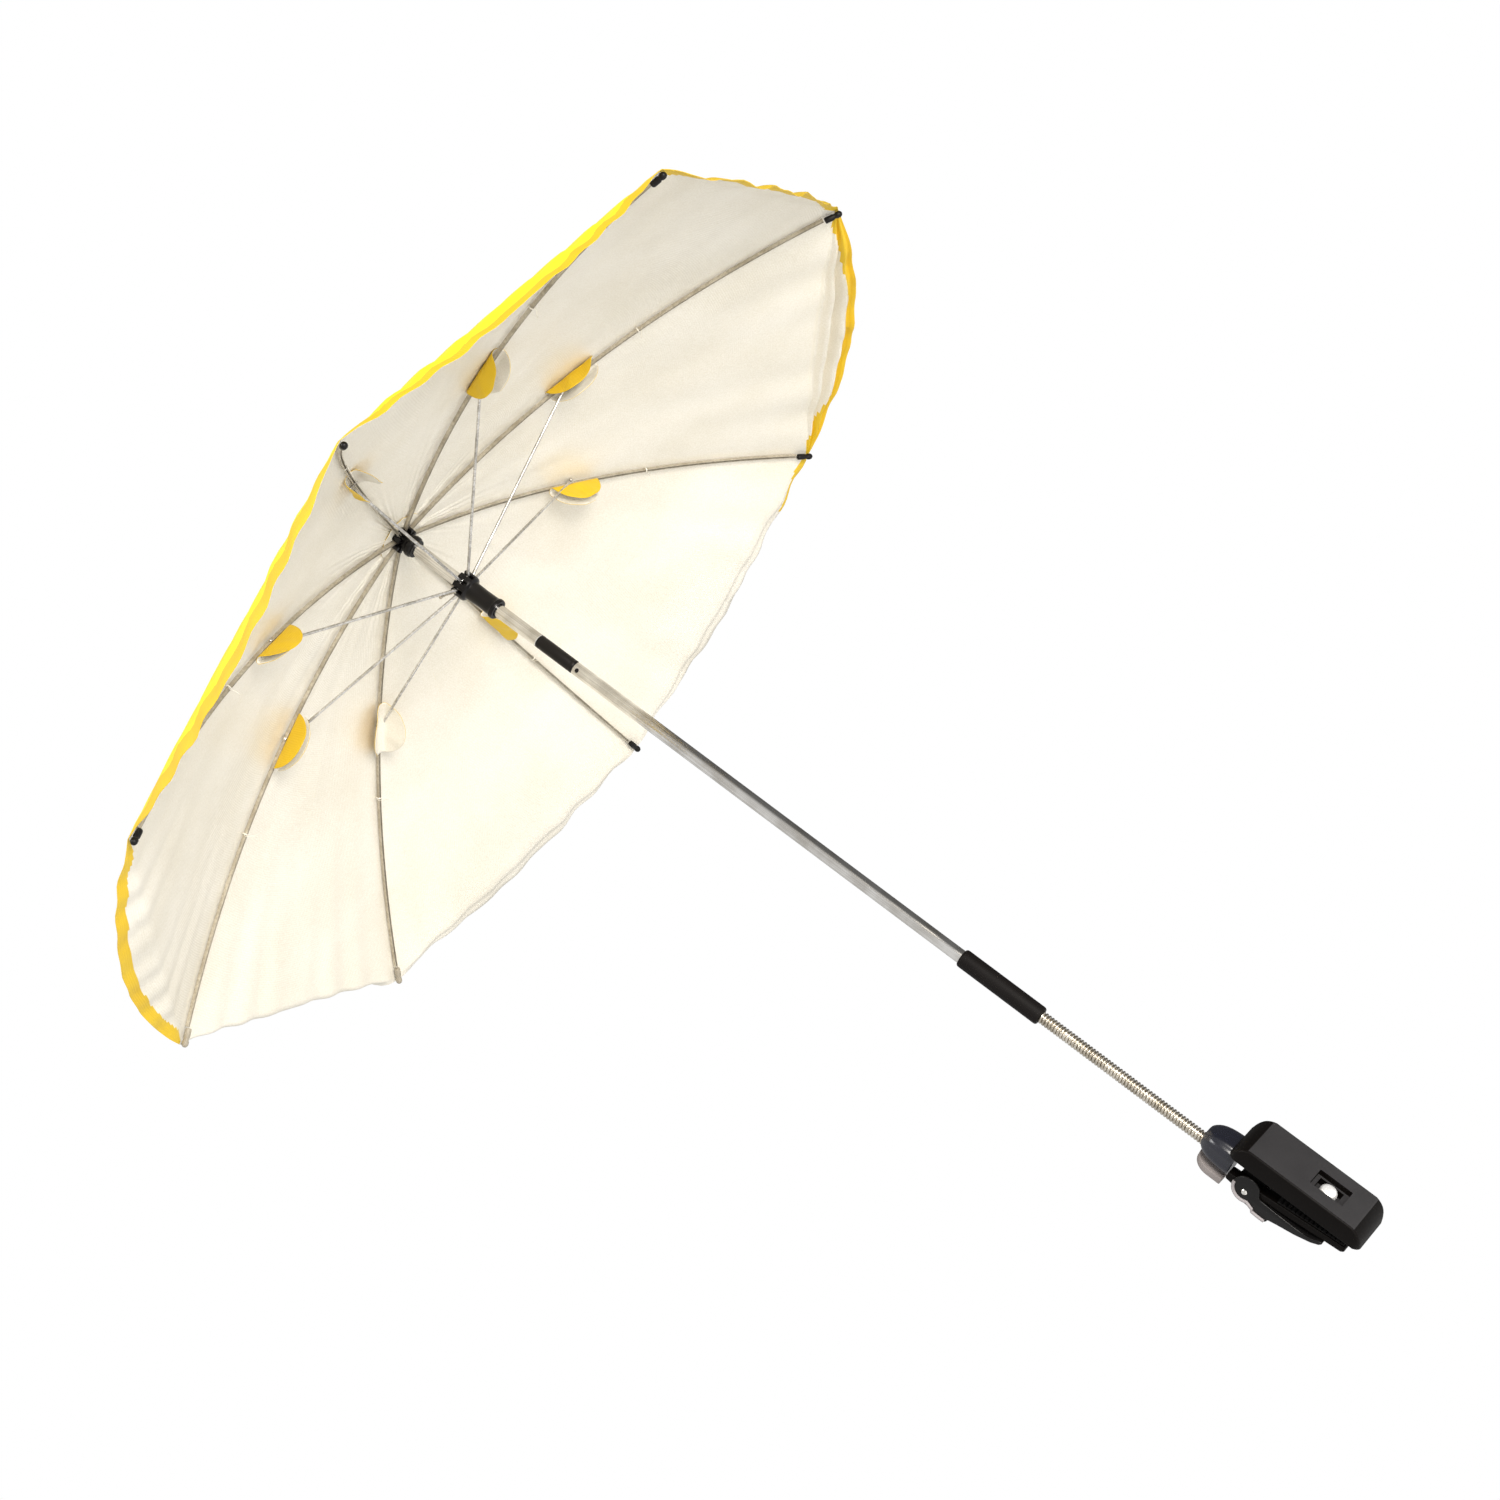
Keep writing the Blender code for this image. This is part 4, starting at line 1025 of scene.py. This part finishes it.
top, shoulder = 0.0632, 0.0340
outline = [(rear_line(REAR_FOOT), REAR_FOOT + 0.0015), (rear_line(top), top - 0.0004), (rear_line(top) + 0.0006, top),
           (rear_line(top) + 0.0052, top)]
outline += arc((PIN.y, PIN.z), 0.0052, 60, -70, 12)
outline += [(rear_line(shoulder) + REAR_THICK, shoulder), (rear_line(REAR_FOOT) + REAR_THICK, REAR_FOOT + 0.0020),
            (rear_line(REAR_FOOT) + 0.0030, REAR_FOOT), (rear_line(REAR_FOOT) + 0.0010, REAR_FOOT + 0.0002)]
crosswise = Matrix.Rotation(radians(90), 4, "Y")
rear = cut(plate("rear_blank", outline, 0.0150, 0.0008), "rear_jaw_body",
           (block((0.0146, 0.040, 0.048)), Matrix.Translation((0, 0.012, 0.0560))),
           (rod(0.0038, 0.030), Matrix.Translation((0, 0.010, BOLT_Z)) @ lying),
           (rod(0.0023, 0.040), Matrix.Translation(PIN) @ crosswise))
finished("rear_jaw_body", rear, SMOOTH, "rear_jaw", "jaw_plastic", "jaw_rear")
low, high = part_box("pad_rear")
pad = ribbed("rear_pad", low.z, high.z, high.x, lambda z, d: rear_line(z) - REAR_PAD + d,
             lambda z: rear_line(z) - 0.0002)
finished("rear_pad", pad, PAD, "rear_jaw", "pad_rubber", "pad_rear")


# ---------------------------------------------------------------- clamp: bolt, nut, lever and pin
# A bright bolt through both jaws with its nut in the front window, and an over-centre cam lever
# on a steel pin: pulled down it drives the rear jaw's foot against the tube.
CHROME_BOLT = plated("bright chromed bolt", "f4f2ee", "cfcac0", 0.12)
head_y = rear_line(BOLT_Z) + REAR_THICK + 0.0005
bolt = turned("through_bolt", [
    (0, 0.0018), (0.0020, 0.0016), (0.0034, 0.0011), (0.0042, 0.0004), (0.0044, 0), (0.0025, 0),
    (0.0025, -head_y - 0.0108), (0.0018, -head_y - 0.0120), (0, -head_y - 0.0124)], 48)
bolt.transform(Matrix.Translation((0, head_y, BOLT_Z)) @ Matrix.Rotation(radians(-90), 4, "X"))
finished("through_bolt", bolt, CHROME_BOLT, "clamp_bolt", "bolt_steel", "clamp_bolt")
# The cap nut is coloured near white as a painted highlight for the glint in the window.
NUT_WHITE_GLINT = plated("nut whitened as painted glint", "ffffff", "f4f2ef", 0.3, 0.45)
nut = turned("cap_nut", [(0, 0.0050), (0.0020, 0.0049), (0.0036, 0.0045), (0.0048, 0.0037), (0.0055, 0.0026),
                         (0.0058, 0.0012), (0.0058, -0.0024), (0, -0.0024)], 48)
nut.transform(Matrix.Translation((0, WINDOW_FLOOR - 0.0026, BOLT_Z)) @ lying)
finished("cap_nut", nut, NUT_WHITE_GLINT, "clamp_body", "bolt_steel", "clamp_nut")

LEVER = moulded("satin black lever", "0c0b0b", 0.3, 0.6, 0.15, coat=0.06)
LEVER_EDGE_HIGHLIGHT = moulded("painted highlight on the lever's edge", "858081", 0.42, 0.5, 0.2)
cam_arc = arc((0.0125, PIN.z), 0.0090, 262, 0, 40)
outline = cam_arc + [
    (0.0226, 0.0410), (0.0238, 0.0403), (0.0244, 0.0395), (0.0244, 0.0300), (0.0236, 0.0292), (0.0216, 0.0285),
    (0.0204, 0.0230), (0.0182, 0.0110), (0.0154, 0.0010), (0.0130, -0.0038), (0.0112, -0.0052), (0.0103, -0.0048),
    (0.0104, -0.0025), (0.0120, 0.0004), (0.0134, 0.0040), (0.0136, 0.0100), (0.0134, 0.0250), (0.0128, 0.0385)]
lever_low, lever_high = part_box("cam_lever")
half, ear_gap = lever_high.x, (0.0068, 0.0153)
span, centre = ear_gap[1] - ear_gap[0], sum(ear_gap) / 2
tools = [(rod(0.0023, 0.040), Matrix.Translation(PIN) @ crosswise)]
for x in (-centre, centre):
    tools.append((block((span, 0.040, 0.030)), Matrix.Translation((x, PIN.y, 0.0410 + 0.015))))
    tools.append((block((span, 0.040, 0.0094)), Matrix.Translation((x, 0.0185 - 0.020, 0.0364))))
lever = cut(plate("lever_blank", outline, half, 0.0007), "lever_body", *tools)
finished("lever_body", lever, LEVER, "cam_lever", "lever_plastic", "cam_lever")
# Grey rods along the cam's edge and the tab, on both sides of the lever, are a painted highlight: the light caught on
# that edge.
edge_highlights = []
for x in (-half - 0.0001, half + 0.0001):
    line = arc((0.0125, PIN.z), 0.0083, 92, -30, 24) + [(0.0217, 0.0400), (0.0234, 0.0392), (0.0237, 0.0348),
                                                        (0.0237, 0.0302)]
    path = [Vector((x, y, z)) for y, z in line]
    edge_highlights.append(swept("rim", path, circle(0.0011, 10), side=Vector((1, 0, 0))))
finished("lever_edge_highlights", joined("lever_edge_highlights", edge_highlights), LEVER_EDGE_HIGHLIGHT, "cam_lever", "lever_plastic")
low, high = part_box("lever_pin")
pin = turned("hinge_pin", [(0, high.x), (0.0015, high.x), (0.0020, high.x - 0.0004), (0.0020, low.x + 0.0004),
                           (0.0015, low.x), (0, low.x)], 32)
pin.transform(Matrix.Translation(PIN) @ crosswise)
finished("hinge_pin", pin, CHROME_BOLT, "rear_jaw", "bolt_steel", "lever_pin")
